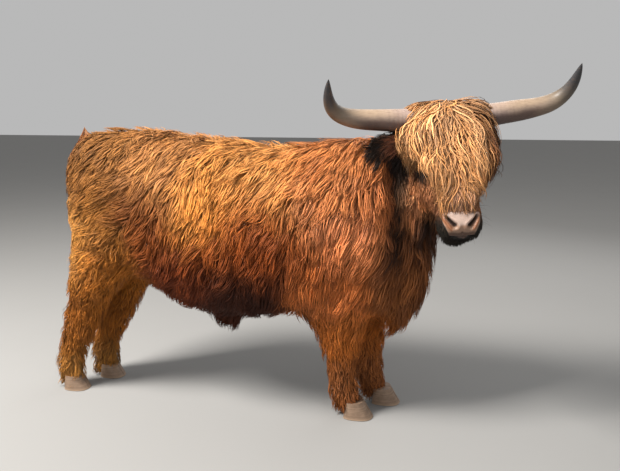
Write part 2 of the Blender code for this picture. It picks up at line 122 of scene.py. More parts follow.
class Graph:
    """Builds a shader tree or a geometry tree."""

    def __init__(self, tree: Tree) -> None:
        """Starts on a tree."""
        self.tree = tree

    def node(
        self,
        kind: str,
        settings: Optional[Mapping[str, object]] = None,
        inputs: Optional[Mapping[Union[str, int], Value]] = None,
    ) -> Node:
        """Adds a node of any type.

        Args:
            kind: the node's type name.
            settings: its properties, which are set first.
            inputs: values or links for its sockets, by name or number.

        Returns:
            The new node.
        """
        made = self.tree.nodes.new(kind)
        for name, value in (settings or {}).items():
            setattr(made, name, value)
        self.feed(made, inputs or {})
        return made

    def feed(self, node: Node, inputs: Mapping[Union[str, int], Value]) -> None:
        """Links links to a node's input sockets, and sets plain values on the others."""
        for name, value in inputs.items():
            source = value.socket if isinstance(value, Link) else value
            if isinstance(source, bpy.types.NodeSocket):
                self.tree.links.new(source, node.inputs[name])
            else:
                node.inputs[name].default_value = source

    def out(self, node: Node, name: Union[str, int] = 0) -> Link:
        """One of a node's outputs."""
        return Link(self, node.outputs[name])

    def math(self, operation: str, *values: Value) -> Link:
        """A Math node on numbers or links."""
        return self.out(self.node("ShaderNodeMath", {"operation": operation}, dict(enumerate(values))))

    def vector(self, operation: str, *values: Value, output: Union[str, int] = 0) -> Link:
        """A Vector Math node."""
        made = self.node("ShaderNodeVectorMath", {"operation": operation}, dict(enumerate(values)))
        return self.out(made, output)

    def scaled(self, colour: Value, share: Value) -> Link:
        """A colour made darker or lighter."""
        made = self.node("ShaderNodeVectorMath", {"operation": "SCALE"}, {0: colour, "Scale": share})
        return self.out(made)

    def parts(self, vector: Value) -> tuple[Link, Link, Link]:
        """The three numbers of a vector."""
        made = self.node("ShaderNodeSeparateXYZ", None, {0: vector})
        return self.out(made, 0), self.out(made, 1), self.out(made, 2)

    def joined(self, x: Value, y: Value, z: Value) -> Link:
        """A vector of three numbers."""
        return self.out(self.node("ShaderNodeCombineXYZ", None, {0: x, 1: y, 2: z}))

    def step(self, value: Value, low: float, high: float) -> Link:
        """A smooth step from 0 at low to 1 at high; low may be the greater."""
        settings = {"interpolation_type": "SMOOTHSTEP", "clamp": True}
        ends = {1: min(low, high), 2: max(low, high), 3: float(low > high), 4: float(low <= high)}
        return self.out(self.node("ShaderNodeMapRange", settings, {0: value, **ends}))

    def mix(self, share: Value, one: Value, other: Value, blend: str = "MIX") -> Link:
        """Blends two colours."""
        colours = [(*c, 1.0) if isinstance(c, tuple) and len(c) == 3 else c for c in (one, other)]
        settings = {"data_type": "RGBA", "blend_type": blend, "clamp_factor": True}
        made = self.node("ShaderNodeMix", settings, {0: share, 6: colours[0], 7: colours[1]})
        return self.out(made, 2)

    def noise(self, vector: Value, scale: float, detail: float = 2.0, rough: float = 0.5) -> Link:
        """Fractal noise from 0 to 1."""
        inputs = {"Vector": vector, "Scale": scale, "Detail": detail, "Roughness": rough}
        return self.out(self.node("ShaderNodeTexNoise", {"noise_dimensions": "3D"}, inputs), 0)

    def attribute(self, name: str, output: str = "Fac") -> Link:
        """A named attribute of the mesh."""
        made = self.node("ShaderNodeAttribute", {"attribute_type": "GEOMETRY", "attribute_name": name})
        return self.out(made, output)

    def place(self) -> Link:
        """The shaded point in the piece's own coordinates."""
        return self.out(self.node("ShaderNodeTexCoord"), "Object")

    def bump(self, height: Value, strength: float, distance: float) -> Link:
        """A normal bent by a height."""
        inputs = {"Height": height, "Strength": strength, "Distance": distance}
        return self.out(self.node("ShaderNodeBump", None, inputs))

    def tube(self, line: Node, radius: Link, sides: int) -> Node:
        """Sweeps a ring of this many sides along a curve, and closes its ends."""
        ring = self.node("GeometryNodeCurvePrimitiveCircle", None, {"Resolution": sides, "Radius": 1.0})
        inputs = {"Curve": line.outputs[0], "Profile Curve": ring.outputs[0]}
        inputs |= {"Scale": radius, "Fill Caps": True}
        return self.node("GeometryNodeCurveToMesh", None, inputs)

    def hand_out(self, node: Node, finish: Material) -> None:
        """Ends a geometry tree: makes instances real, sets the material and puts the result out."""
        real = self.node("GeometryNodeRealizeInstances", None, {"Geometry": node.outputs[0]})
        inputs = {"Geometry": real.outputs[0], "Material": finish}
        painted = self.node("GeometryNodeSetMaterial", None, inputs)
        self.node("NodeGroupOutput", None, {"Geometry": painted.outputs[0]})


def new_material(name: str, uniform: Mapping[str, float]) -> tuple[Material, Graph, Node]:
    """A Principled material.

    Args:
        name: its name.
        uniform: values that are the same all over the surface.

    Returns:
        The material, its graph and its shader node.
    """
    made = bpy.data.materials.new(name)
    made.use_nodes = True
    shader = made.node_tree.nodes["Principled BSDF"]
    for socket, value in uniform.items():
        shader.inputs[socket].default_value = value
    return made, Graph(made.node_tree), shader


def new_tree(name: str, inputs: Mapping[str, str]) -> tuple[Tree, Graph, Node]:
    """A geometry tree with named inputs.

    Args:
        name: its name.
        inputs: the kind of every input besides the geometry, by name.

    Returns:
        The tree, its graph and the node that hands the inputs in.
    """
    tree = bpy.data.node_groups.new(name, "GeometryNodeTree")
    for way in ("INPUT", "OUTPUT"):
        tree.interface.new_socket("Geometry", in_out=way, socket_type="NodeSocketGeometry")
    for socket, kind in inputs.items():
        tree.interface.new_socket(socket, in_out="INPUT", socket_type=f"NodeSocket{kind}")
    graph = Graph(tree)
    return tree, graph, graph.node("NodeGroupInput")


def run_tree(item: Item, tree: Tree, numbers: Mapping[str, Value]) -> None:
    """Runs a geometry tree on the object with these inputs, and keeps the result as a plain mesh."""
    modifier = item.modifiers.new(tree.name, "NODES")
    modifier.node_group = tree
    for socket in tree.interface.items_tree:
        if socket.name in numbers:
            modifier[socket.identifier] = numbers[socket.name]
    settle(item)


# ---- where things stand


@dataclass
class Stance:
    """Where the body and the turned head stand, worked out from the frame's hooves and eyes."""

    heel_behind_datum: float = 0.1131
    eye_along: float = 0.198
    eye_below_brow: float = 0.052
    head_turn: float = math.radians(-74)
    head_drop: float = math.radians(47)
    head_roll: float = math.radians(3.7)
    ears: Sequence[tuple[Triple, Triple]] = (
        ((-0.045, -0.10, -0.075), (0.09, -0.342, -0.092)),
        ((-0.075, 0.10, -0.075), (-0.26, 0.215, -0.10)),
    )
    datum: Array = field(init=False)
    poll: Array = field(init=False)
    face: Array = field(init=False)
    crown: Array = field(init=False)
    eyes: dict[str, Array] = field(init=False)

    def __post_init__(self) -> None:
        """Reads the boxes of hooves and eyes."""
        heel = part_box("hoof_fore_right_inner")[0].x
        left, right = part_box("hoof_fore_left_outer")[1].y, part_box("hoof_fore_right_outer")[0].y
        self.datum = np.array([heel + self.heel_behind_datum, (left + right) / 2, 0.0])
        turn = Matrix.Rotation(self.head_turn, 3, "Z")
        roll = Matrix.Rotation(self.head_roll, 3, "X")
        self.face = np.array(turn @ Matrix.Rotation(self.head_drop, 3, "Y") @ roll)
        self.crown = np.array(turn @ roll)
        self.eyes = {}
        for side in ("left", "right"):
            low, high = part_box(f"eye_{side}")
            self.eyes[side] = np.array((low + high) / 2)
        middle = (self.eyes["left"] + self.eyes["right"]) / 2
        self.poll = middle - self.face @ np.array([self.eye_along, 0.0, -self.eye_below_brow])

    def on_face(self, points: Rows) -> Array:
        """Places from (along the nose, to the left, out of the forehead), measured from the poll."""
        return self.poll + np.asarray(points, float) @ self.face.T

    def to_face(self, points: Array) -> Array:
        """The reverse of on_face."""
        return (np.asarray(points, float) - self.poll) @ self.face

    def on_crown(self, points: Rows) -> Array:
        """Places from (forwards, to the left, up) of the turned but level head."""
        return self.poll + np.asarray(points, float) @ self.crown.T

    def eye_gap(self, points: Array) -> Array:
        """The distance to the nearer eye."""
        return np.minimum(*(np.linalg.norm(points - centre, axis=1) for centre in self.eyes.values()))

    def eye_axes(self, sign: int) -> tuple[Array, Array, Array]:
        """The directions out of an eye, along its slit towards the nose, and up across the slit."""
        out = unit(self.face @ np.array([0.10, sign * 0.92, 0.36]))
        slit = unit(np.cross(out, np.cross(self.face @ np.array([1.0, 0.0, -0.28]), out)))
        return out, slit, np.cross(out, slit) * -sign

    def to_body(self, points: Array) -> Array:
        """Places measured from the datum on the floor under the chest."""
        return np.asarray(points, float) - self.datum


class Side(Enum):
    """The animal's two sides."""

    LEFT = 1
    RIGHT = -1

    @property
    def word(self) -> str:
        """The side's name in piece names."""
        return self.name.lower()


# ---- mesh helpers


def eased(value: Array, low: float, high: float) -> Array:
    """A smooth step from 0 at low to 1 at high; low may be the greater."""
    t = np.clip((np.asarray(value, float) - low) / (high - low), 0.0, 1.0)
    return t * t * (3 - 2 * t)


def unit(vectors: Array) -> Array:
    """The vectors at length one."""
    return vectors / np.maximum(np.linalg.norm(vectors, axis=-1, keepdims=True), 1e-9)


def mixed(one: Union[Array, Colour], other: Union[Array, Colour], share: Array) -> Array:
    """Each row a blend of two, by its own share."""
    first, second = np.asarray(one), np.asarray(other)
    return first + (second - first) * np.asarray(share)[..., None]


def new_object(name: str, data: bpy.types.ID) -> Item:
    """An object at the origin that holds a mesh, a lamp or a camera."""
    made = bpy.data.objects.new(name, data)
    bpy.context.scene.collection.objects.link(made)
    return made


def mesh_of(shape: bmesh.types.BMesh, name: str) -> Mesh:
    """Makes a mesh of the shape, and lets the shape go."""
    made = bpy.data.meshes.new(name)
    shape.to_mesh(made)
    shape.free()
    return made


def store(mesh: Mesh, name: str, values: Array) -> None:
    """Keeps a number, a vector or a colour for every vertex."""
    kinds = {1: ("FLOAT", "value"), 3: ("FLOAT_VECTOR", "vector"), 4: ("FLOAT_COLOR", "color")}
    kind, key = kinds[values[0].size]
    layer = mesh.attributes.new(name, kind, "POINT")
    layer.data.foreach_set(key, values.astype(np.float32).ravel())


def store_coat(mesh: Mesh, colour: Union[Colour, Array]) -> None:
    """Keeps the coat's colour for every vertex: one for each, or one for all."""
    table = np.ones((len(mesh.vertices), 4))
    table[:, :3] = colour
    store(mesh, "coat", table)


def places(mesh: Mesh) -> Array:
    """The vertices' places."""
    found = np.empty(len(mesh.vertices) * 3, np.float32)
    mesh.vertices.foreach_get("co", found)
    return found.reshape(-1, 3).astype(float)


def normals(mesh: Mesh) -> Array:
    """The vertices' normals."""
    found = np.empty(len(mesh.vertices) * 3, np.float32)
    mesh.vertex_normals.foreach_get("vector", found)
    return found.reshape(-1, 3).astype(float)


def half_thickness(mesh: Mesh, below: float = 0.002, most: float = 0.05) -> Array:
    """Half the solid's thickness at every vertex, by rays that start a little below the surface."""
    tree = BVHTree.FromPolygons(places(mesh).tolist(), [tuple(f.vertices) for f in mesh.polygons])
    found = []
    for point, out in zip(places(mesh), normals(mesh)):
        hit = tree.ray_cast(Vector(point - out * below), Vector(-out))
        found.append(hit[3] / 2 if hit[3] is not None else most)
    return np.array(found)


def move_to(mesh: Mesh, points: Array) -> None:
    """Gives the vertices new places."""
    mesh.vertices.foreach_set("co", np.ascontiguousarray(points, np.float32).ravel())
    mesh.update()


def settle(item: Item) -> Item:
    """Applies the object's modifiers, so that its mesh is plain."""
    bpy.context.view_layer.update()
    graph = bpy.context.evaluated_depsgraph_get()
    made = bpy.data.meshes.new_from_object(item.evaluated_get(graph))
    item.modifiers.clear()
    item.data = made
    return item


def lay_flat(item: Item) -> None:
    """Unwraps the object's mesh on its active map."""
    bpy.context.view_layer.objects.active = item
    item.select_set(True)
    bpy.ops.object.mode_set(mode="EDIT")
    bpy.ops.mesh.select_all(action="SELECT")
    bpy.ops.uv.smart_project(angle_limit=math.radians(66), island_margin=0.002)
    bpy.ops.object.mode_set(mode="OBJECT")
    item.select_set(False)


def dress(item: Item, finish: Material) -> None:
    """Gives the object one material and smooth faces."""
    item.data.materials.clear()
    item.data.materials.append(finish)
    item.data.shade_smooth()


def line_distance(points: Array, line: Sequence[Triple]) -> tuple[Array, Array]:
    """Distance to a line of straight stretches, and the share of the way along it.

    Args:
        points: places.
        line: the line's corners.

    Returns:
        A distance and a share for every place.
    """
    corners = np.asarray(line, float)
    best = np.full(len(points), 1e9)
    share = np.zeros(len(points))
    count = len(corners) - 1
    for i, (start, end) in enumerate(zip(corners[:-1], corners[1:])):
        reach = end - start
        t = np.clip((points - start) @ reach / (reach @ reach), 0, 1)
        gap = np.linalg.norm(points - start - t[:, None] * reach, axis=1)
        closer = gap < best
        best[closer], share[closer] = gap[closer], ((i + t) / count)[closer]
    return best, share


def mirrored_distance(face: Array, line: Sequence[Triple], sign: int) -> tuple[Array, Array]:
    """Distance and share for a line on the face's left, at sign 1, or its mirror image, at -1."""
    return line_distance(face, np.array(line) * (1, sign, 1))


class Softener:
    """Averages values over a mesh's neighbours."""

    def __init__(self, mesh: Mesh) -> None:
        """Reads the mesh's edges."""
        ends = np.empty(len(mesh.edges) * 2, np.int32)
        mesh.edges.foreach_get("vertices", ends)
        self.ends = ends.reshape(-1, 2)
        self.count = np.maximum(np.bincount(ends, minlength=len(mesh.vertices)), 1).astype(float)

    def once(self, values: Array, share: Union[float, Array] = 0.5) -> Array:
        """One round: each value moves this share of the way to its neighbours' mean."""
        flat = values.reshape(len(values), -1)
        total = np.zeros_like(flat)
        first, second = self.ends[:, 0], self.ends[:, 1]
        size = len(flat)
        for column in range(flat.shape[1]):
            total[:, column] = np.bincount(first, flat[second, column], size)
            total[:, column] += np.bincount(second, flat[first, column], size)
        mean = (total / self.count[:, None]).reshape(values.shape)
        weight = np.asarray(share)
        weight = weight.reshape(-1, *([1] * (values.ndim - 1))) if weight.ndim else weight
        return values + (mean - values) * weight

    def rounds(self, values: Array, times: int, share: Union[float, Array] = 0.5) -> Array:
        """Several rounds."""
        for _ in range(times):
            values = self.once(values, share)
        return values


# ---- how the coat grows


@dataclass(frozen=True)
class HairStyle:
    """How the hair grows on one part of the body, in metres."""

    depth: float  # skin to tips
    length: float
    width: float  # of a lock
    lie: Triple  # the way it hangs, in the body's axes
    curl: float  # how far a lock waves to its sides
    wave: float  # length of one wave
    spacing: float  # between roots
    stray: float  # how far the lie scatters, as a share

    def numbers(self) -> list[float]:
        """The sizes in one row, in the order of Growth's fields."""
        sizes = [self.depth, self.length, self.width, self.curl, self.wave, self.spacing, self.stray]
        return [*sizes, *self.lie]


class Part(Enum):
    """The parts of the body that grow hair, and how it grows there."""

    HEAD = HairStyle(0.016, 0.055, 0.0044, (0.0, 0.0, -1.0), 0.002, 0.07, 0.0066, 0.14)
    EAR = HairStyle(0.007, 0.038, 0.0034, (0.0, 0.0, -1.0), 0.001, 0.07, 0.0060, 0.14)
    NECK = HairStyle(0.040, 0.150, 0.0060, (-0.22, 0.0, -1.0), 0.007, 0.15, 0.0094, 0.10)
    BRISKET = HairStyle(0.038, 0.150, 0.0060, (-0.05, 0.0, -1.0), 0.008, 0.14, 0.0090, 0.12)
    SHOULDERS = HairStyle(0.038, 0.140, 0.0060, (-0.25, 0.0, -1.0), 0.007, 0.15, 0.0094, 0.10)
    BARREL = HairStyle(0.034, 0.120, 0.0058, (-0.48, 0.0, -0.9), 0.007, 0.13, 0.0098, 0.12)
    RUMP = HairStyle(0.030, 0.095, 0.0056, (-0.80, 0.0, -0.6), 0.005, 0.12, 0.0090, 0.15)
    THIGH = HairStyle(0.032, 0.070, 0.0054, (-0.45, 0.0, -0.9), 0.008, 0.07, 0.0086, 0.26)
    HIND_SHANK = HairStyle(0.026, 0.065, 0.0050, (-0.30, 0.0, -0.95), 0.005, 0.07, 0.0082, 0.20)
    FOREARM = HairStyle(0.030, 0.110, 0.0056, (-0.18, 0.0, -1.0), 0.007, 0.11, 0.0088, 0.14)
    FORE_SHANK = HairStyle(0.024, 0.070, 0.0050, (-0.10, 0.0, -1.0), 0.005, 0.07, 0.0080, 0.18)
    TAIL = HairStyle(0.024, 0.150, 0.0058, (-0.10, 0.0, -1.0), 0.006, 0.11, 0.0090, 0.10)
    SHEATH = HairStyle(0.030, 0.090, 0.0056, (-0.10, 0.0, -1.0), 0.006, 0.10, 0.0080, 0.14)

    @property
    def number(self) -> int:
        """The part's number, in the order above."""
        return list(Part).index(self)

    def nodes(self) -> list[str]:
        """The CAD nodes that the part stands for: one, or a left and a right one."""
        name = self.name.lower()
        paired = self in (Part.EAR, Part.THIGH, Part.HIND_SHANK, Part.FOREARM, Part.FORE_SHANK)
        return [f"{name}_{side.word}" for side in Side] if paired else [name]


@dataclass
class Growth:
    """The hair's numbers for every vertex of the skin, or for every root."""

    depth: Array
    length: Array
    width: Array
    curl: Array
    wave: Array
    spacing: Array
    stray: Array
    lie: Array

    @classmethod
    def of_rows(cls, rows: Array) -> "Growth":
        """Splits rows of numbers as HairStyle lays them out."""
        return cls(*(rows[:, i] for i in range(LIE.start)), lie=rows[:, LIE])

    def rows(self) -> Array:
        """The numbers side by side."""
        fields = (self.depth, self.length, self.width, self.curl, self.wave, self.spacing, self.stray)
        return np.column_stack([*fields, self.lie])


@dataclass
class FleshMap:
    """Says which part of the body a place belongs to."""

    stance: Stance
    nodes: Mapping[str, Item]
    owners: Mapping[str, Part] = field(
        default_factory=lambda: {node: part for part in Part for node in part.nodes()}
    )

    def __post_init__(self) -> None:
        """Makes one search tree of all the flesh, with the part that owns each triangle."""
        points: list[Array] = []
        faces: list[Array] = []
        self.owner: list[int] = []
        total = 0
        for name, part in self.owners.items():
            mesh = self.nodes[name].data
            mesh.calc_loop_triangles()
            corners = np.empty(len(mesh.loop_triangles) * 3, np.int32)
            mesh.loop_triangles.foreach_get("vertices", corners)
            points.append(places(mesh))
            faces.append(corners.reshape(-1, 3) + total)
            self.owner += [part.number] * len(mesh.loop_triangles)
            total += len(mesh.vertices)
        self.tree = BVHTree.FromPolygons(np.concatenate(points).tolist(), np.concatenate(faces).tolist())

    def part_of(self, points: Array) -> Array:
        """The number of the nearest part, for each place."""
        find = self.tree.find_nearest
        return np.array([self.owner[find(p)[2]] for p in points.tolist()])


# ---- the skin


@dataclass
class Skin:
    """One closed skin under the coat, from the muzzle to the tail, with the face sculpted in."""

    stance: Stance
    flesh: FleshMap
    overlap: float = 0.004
    voxel: float = 0.0165
    eye_radius: float = 0.021
    slit_half: float = 0.0185  # of the opening between the lids
    slit_tall: float = 0.0115
    lid: float = 0.0022
    head_from: float = -0.10  # along the face, from the poll
    crease: Sequence[Triple] = (
        (0.085, -0.17, 1.17),
        (0.092, -0.179, 1.11),
        (0.099, -0.212, 0.99),
        (0.10, -0.22, 0.86),
    )
    crease_depth: float = 0.045
    crease_reach: float = 0.024
    cheek_place: Triple = (0.175, -0.165, 1.01)
    cheek_fill: float = 0.022
    cheek_reach: float = 0.055
    nostril: Sequence[Triple] = ((0.451, 0.061, -0.030), (0.474, 0.047, -0.030), (0.492, 0.030, -0.038))
    mouth: Sequence[Triple] = (
        (0.508, 0.0, -0.090),
        (0.500, 0.045, -0.092),
        (0.465, 0.075, -0.108),
        (0.41, 0.085, -0.122),
    )
    cleft: Sequence[Triple] = ((0.497, 0.0, -0.045), (0.506, 0.0, -0.066), (0.507, 0.0, -0.088))
    brow: Sequence[Triple] = ((0.155, 0.098, -0.040), (0.19, 0.104, -0.022), (0.23, 0.09, -0.030))
    pad_down: Sequence[float] = (0.0, 0.02, 0.05, 0.075, 0.10, 0.125, 0.14)
    pad_half: Sequence[float] = (0.054, 0.070, 0.070, 0.062, 0.054, 0.042, 0.02)  # width at those
    ear_share: Sequence[float] = (0.0, 0.25, 0.5, 0.75, 0.95, 1.1)
    ear_tall: Sequence[float] = (0.034, 0.050, 0.056, 0.044, 0.018, 0.001)  # half, at those
    ear_lift: float = 0.018  # of the tip
    ear_cup: float = 0.010
    swirls: Sequence[tuple[float, Triple, float]] = (
        (0.16, (5.0, 3.0, 4.0), 0.5),
        (0.12, (-9.0, 6.0, 11.0), 2.0),
        (0.12, (19.0, -8.0, 13.0), 4.0),
        (0.10, (-23.0, 17.0, 27.0), 1.0),
    )
    item: Item = field(init=False)
    growth: Growth = field(init=False)

    def build(self) -> Item:
        """Makes the skin and works out how the hair grows on it."""
        self.item = self._joined_flesh()
        mesh = self.item.data
        soft = Softener(mesh)
        points = soft.rounds(places(mesh), 2)
        points = self._cheek(points, normals(mesh))
        move_to(mesh, points)
        rows = self._style_rows(points)
        rows = soft.rounds(rows, 10)
        rows[:, LIE] = self._swirl(rows[:, LIE], points, normals(mesh))
        rows[:, DEPTH] = np.minimum(rows[:, DEPTH], half_thickness(mesh) * 0.7)
        rows[:, DEPTH] = soft.rounds(rows[:, DEPTH], 6)
        inward = unit(soft.rounds(normals(mesh), 3))
        trunk = 1 - eased(self.stance.to_face(points)[:, 0], -0.10, -0.02) * self._is_head(points)
        points = points - inward * rows[:, :1]
        points = mixed(points, soft.rounds(points, 8), trunk * 0.8)
        move_to(mesh, points)
        mesh.uv_layers.new(name=BAKE_MAP)
        lay_flat(self.item)
        for column, values in enumerate(rows.T):
            store(mesh, f"growth_{column}", values)
        self._refine()
        self._sculpt()
        self.growth = Growth.of_rows(self._kept("growth_", rows.shape[1]))
        return self.item

    def _joined_flesh(self) -> Item:
        """The CAD flesh, grown until it overlaps, as one closed mesh of even faces."""
        whole = bmesh.new()
        for name in self.flesh.owners:
            piece = bmesh.new()
            piece.from_mesh(self.flesh.nodes[name].data)
            bmesh.ops.remove_doubles(piece, verts=piece.verts, dist=1e-5)
            piece.normal_update()
            for vertex in piece.verts:
                vertex.co += vertex.normal * self.overlap
            mesh = mesh_of(piece, f"flesh_{name}")
            whole.from_mesh(mesh)
            bpy.data.meshes.remove(mesh)
        item = new_object("skin", mesh_of(whole, "skin"))
        remesh = item.modifiers.new("even faces", "REMESH")
        remesh.mode, remesh.voxel_size, remesh.use_smooth_shade = "VOXEL", self.voxel, True
        return settle(item)

    def _cheek(self, points: Array, out: Array) -> Array:
        """Draws in the crease between shoulder and throat inside the turn, and fills the cheek."""
        body = self.stance.to_body(points)
        near, _ = line_distance(body, self.crease)
        sunk = self.crease_depth * np.exp(-((near / self.crease_reach) ** 2))
        away = ((body - self.cheek_place) ** 2).sum(1)
        fill = self.cheek_fill * np.exp(-(away / self.cheek_reach**2))
        return points + unit(out) * (fill - sunk)[:, None]

    def _swirl(self, lie: Array, points: Array, out: Array) -> Array:
        """Turns the lie of the hair a little this way and that, so that it drifts in waves."""
        turn = sum(size * np.sin(points @ np.array(wave) + shift) for size, wave, shift in self.swirls)
        across = np.cross(out, lie)
        return unit(lie * np.cos(turn)[:, None] + across * np.sin(turn)[:, None])

    def _is_head(self, points: Array) -> Array:
        """1 on the head, 0 elsewhere."""
        along, aside, out = self.stance.to_face(points).T
        return ((along > -0.05) & (np.abs(aside) < 0.19) & (out < 0.06) & (out > -0.30)).astype(float)

    def _style_rows(self, points: Array) -> Array:
        """The hair's numbers at every vertex, before they are evened out."""
        owner = self.flesh.part_of(points)
        table = np.array([part.value.numbers() for part in Part])
        rows = table[owner]
        face = self.stance.to_face(points)
        body = self.stance.to_body(points)
        along, aside, out = face.T
        down_nose, left = self.stance.face[:, 0], self.stance.face[:, 1]
        head = owner == Part.HEAD.number
        throat = head & (along < 0.14) & (out < -0.12)
        rows[throat, :2] = (0.022, 0.11)
        cheek = head & (np.abs(aside) > 0.07) & (along > 0.14) & (along < 0.36)
        rows[cheek, :3] = (0.022, 0.070, 0.0050)
        near_cheek = np.linalg.norm(body - self.cheek_place, axis=1) < 0.11
        rows[near_cheek & ~head, :3] = (0.026, 0.080, 0.0052)
        near, _ = line_distance(body, self.crease)
        rows[(near < 0.04) & ~head, :2] = (0.018, 0.070)
        bridge = head & (out > -0.06) & (along > 0.10)
        rows[bridge, :3] = (0.009, 0.045, 0.0048)
        rows[bridge, LIE] = (down_nose + np.outer(aside[bridge] * 6, left)).tolist()
        muzzle = head & (along > 0.37)
        share = eased(along, 0.37, 0.42)[muzzle]
        ends = {DEPTH: (0.007, 0.003), LENGTH: (0.030, 0.015)}
        ends |= {WIDTH: (0.0042, 0.0030), SPACING: (0.0058, 0.0044)}
        for column, (start, end) in ends.items():
            rows[muzzle, column] = start + (end - start) * share
        rows[muzzle, CURL] = 0.001
        jowl = head & (along > 0.22) & (along < 0.44) & (out < -0.08) & (np.abs(aside) > 0.055)
        rows[jowl, :3] = (0.013, 0.045, 0.0050)
        chin = head & (along > 0.30) & (out < -0.17)
        rows[chin, :3] = (0.016, 0.060, 0.0052)
        trunk = np.isin(owner, [p.number for p in (Part.NECK, Part.SHOULDERS, Part.BARREL, Part.RUMP)])
        side = np.sign(body[:, 1]) * eased(np.abs(body[:, 1]), 0.0, 0.05)
        rows[:, LIE.start + 1] += np.where(trunk, side * 0.8 * eased(body[:, 2], 1.0, 1.25), 0.0)
        shanks = np.isin(owner, [Part.HIND_SHANK.number, Part.FORE_SHANK.number])
        rows[shanks & (body[:, 2] < 0.13), :2] = (0.026, 0.095)
        for sign, line in zip((-1, 1), self.stance.ears):
            ear = (owner == Part.EAR.number) & (np.sign(aside) == sign)
            start, end = self.stance.on_crown(line)
            axis = unit(end - start)
            away = points[ear] - start
            rows[ear, LIE] = axis + (away - np.outer(away @ axis, axis)) * 11 + (0, 0, -0.12)
        near = eased(self.stance.eye_gap(points), 0.05, 0.03)
        rows[:, DEPTH] *= 1 - 0.7 * near
        rows[:, LENGTH] *= 1 - 0.5 * near
        rows[:, LIE] = unit(rows[:, LIE])
        return rows

    def _kept(self, name: str, columns: int) -> Array:
        """Reads a table back and removes it."""
        mesh = self.item.data
        found = np.empty((len(mesh.vertices), columns), np.float32)
        for column in range(columns):
            layer = mesh.attributes[f"{name}{column}"]
            values = np.empty(len(mesh.vertices), np.float32)
            layer.data.foreach_get("value", values)
            found[:, column] = values
            mesh.attributes.remove(layer)
        return found.astype(float)

    def _refine(self) -> None:
        """Gives the head finer faces, finest on the muzzle and round the eyes."""
        for level in range(3):
            shape = bmesh.new()
            shape.from_mesh(self.item.data)
            points = np.array([face.calc_center_median() for face in shape.faces])
            along = self.stance.to_face(points)[:, 0]
            chosen = (self._is_head(points) > 0) & (along > (self.head_from, 0.10, 0.40)[level])
            chosen |= self.stance.eye_gap(points) < 0.055 - 0.008 * level
            faces = [face for face, take in zip(shape.faces, chosen) if take]
            edges = list({edge for face in faces for edge in face.edges})
            bmesh.ops.subdivide_edges(shape, edges=edges, cuts=1, use_grid_fill=True)
            bmesh.ops.triangulate(shape, faces=[face for face in shape.faces if len(face.verts) > 4])
            shape.to_mesh(self.item.data)
            shape.free()
            soft = Softener(self.item.data)
            points = places(self.item.data)
            along = self.stance.to_face(points)[:, 0]
            head = self._is_head(points) * eased(along, self.head_from, self.head_from + 0.05)
            move_to(self.item.data, soft.rounds(points, 2, head * 0.5))

    def _sculpt(self) -> None:
        """Shapes nostrils, mouth, lids and folds."""
        mesh = self.item.data
        points, out = places(mesh), normals(mesh)
        face = self.stance.to_face(points)
        facing = out @ self.stance.face
        self._mark_muzzle(face)
        face = self._muzzle(face, facing)
        face = self._wrinkles(face, facing)
        points = self._ears(self.stance.on_face(face))
        for side, centre in self.stance.eyes.items():
            points = self._lids(points, centre, 1 if side == "left" else -1)
        move_to(mesh, points)

    def _mark_muzzle(self, face: Array) -> None:
        """Keeps how bare, how deep and how far down the muzzle the skin is, and the nostrils' wings."""
        deep, wing = np.zeros(len(face)), np.zeros(len(face))
        for sign in (-1, 1):
            near, t = mirrored_distance(face, self.nostril, sign)
            deep = np.maximum(deep, eased(near, 0.0068 + 0.003 * t, 0.0030 + 0.003 * t))
            past = np.abs(face[:, 1]) - np.interp(t, [0, 1], [0.061, 0.034])
            wing = np.maximum(wing, eased(past, 0.0, 0.006) * eased(near, 0.032, 0.018))
            near, _ = mirrored_distance(face, self.mouth, sign)
            deep = np.maximum(deep, eased(near, 0.0055, 0.0015) * 0.8)
        marks = {"pad": self._pad_share(face), "deep": deep, "wing": wing, "down": self._down_muzzle(face)}
        for name, values in marks.items():
            store(self.item.data, name, values)

    @staticmethod
    def _down_muzzle(face: Array) -> Array:
        """How far down the front of the muzzle a place is, from the top edge of the nose pad."""
        return (face[:, 0] - 0.447) + 0.9 * (-face[:, 2] - 0.010)

    def _pad_share(self, face: Array) -> Array:
        """How bare the skin is: 1 on the nose pad and lips, 0 where hair grows."""
        aside = np.abs(face[:, 1])
        down = self._down_muzzle(face)
        down = down + 0.0035 * np.sin(face[:, 1] * 90 + 1) * np.sin(face[:, 2] * 70)
        half = np.interp(down, self.pad_down, self.pad_half)
        bare = eased(down, -0.004, 0.006) * eased(aside, half + 0.006, half - 0.004)
        return bare * eased(down, 0.142, 0.130) * eased(face[:, 0], 0.430, 0.446)

    def _muzzle(self, face: Array, facing: Array) -> Array:
        """Nostrils, the groove between the lips and the cleft under the nose."""
        for sign in (-1, 1):
            near, t = mirrored_distance(face, self.nostril, sign)
            radius = 0.0042 + 0.0050 * t
            sunk = 0.022 * np.exp(-((near / radius) ** 2))
            outside = eased(np.abs(face[:, 1]) - np.interp(t, [0, 1], [0.060, 0.030]), -0.004, 0.006)
            rim = (0.0020 + 0.0035 * outside) * np.exp(-(((near - 2.0 * radius) / 0.006) ** 2))
            face = face + facing * (rim - sunk)[:, None]
        for sign in (-1, 1):
            near, t = mirrored_distance(face, self.mouth, sign)
            depth = 0.0095 * (1 - 0.5 * t)
            face = face - facing * (depth * np.exp(-((near / 0.0055) ** 2)))[:, None]
            face = face + facing * (0.003 * np.exp(-(((near - 0.013) / 0.006) ** 2)))[:, None]
        near, _ = line_distance(face, self.cleft)
        return face - facing * (0.0030 * np.exp(-((near / 0.0035) ** 2)))[:, None]

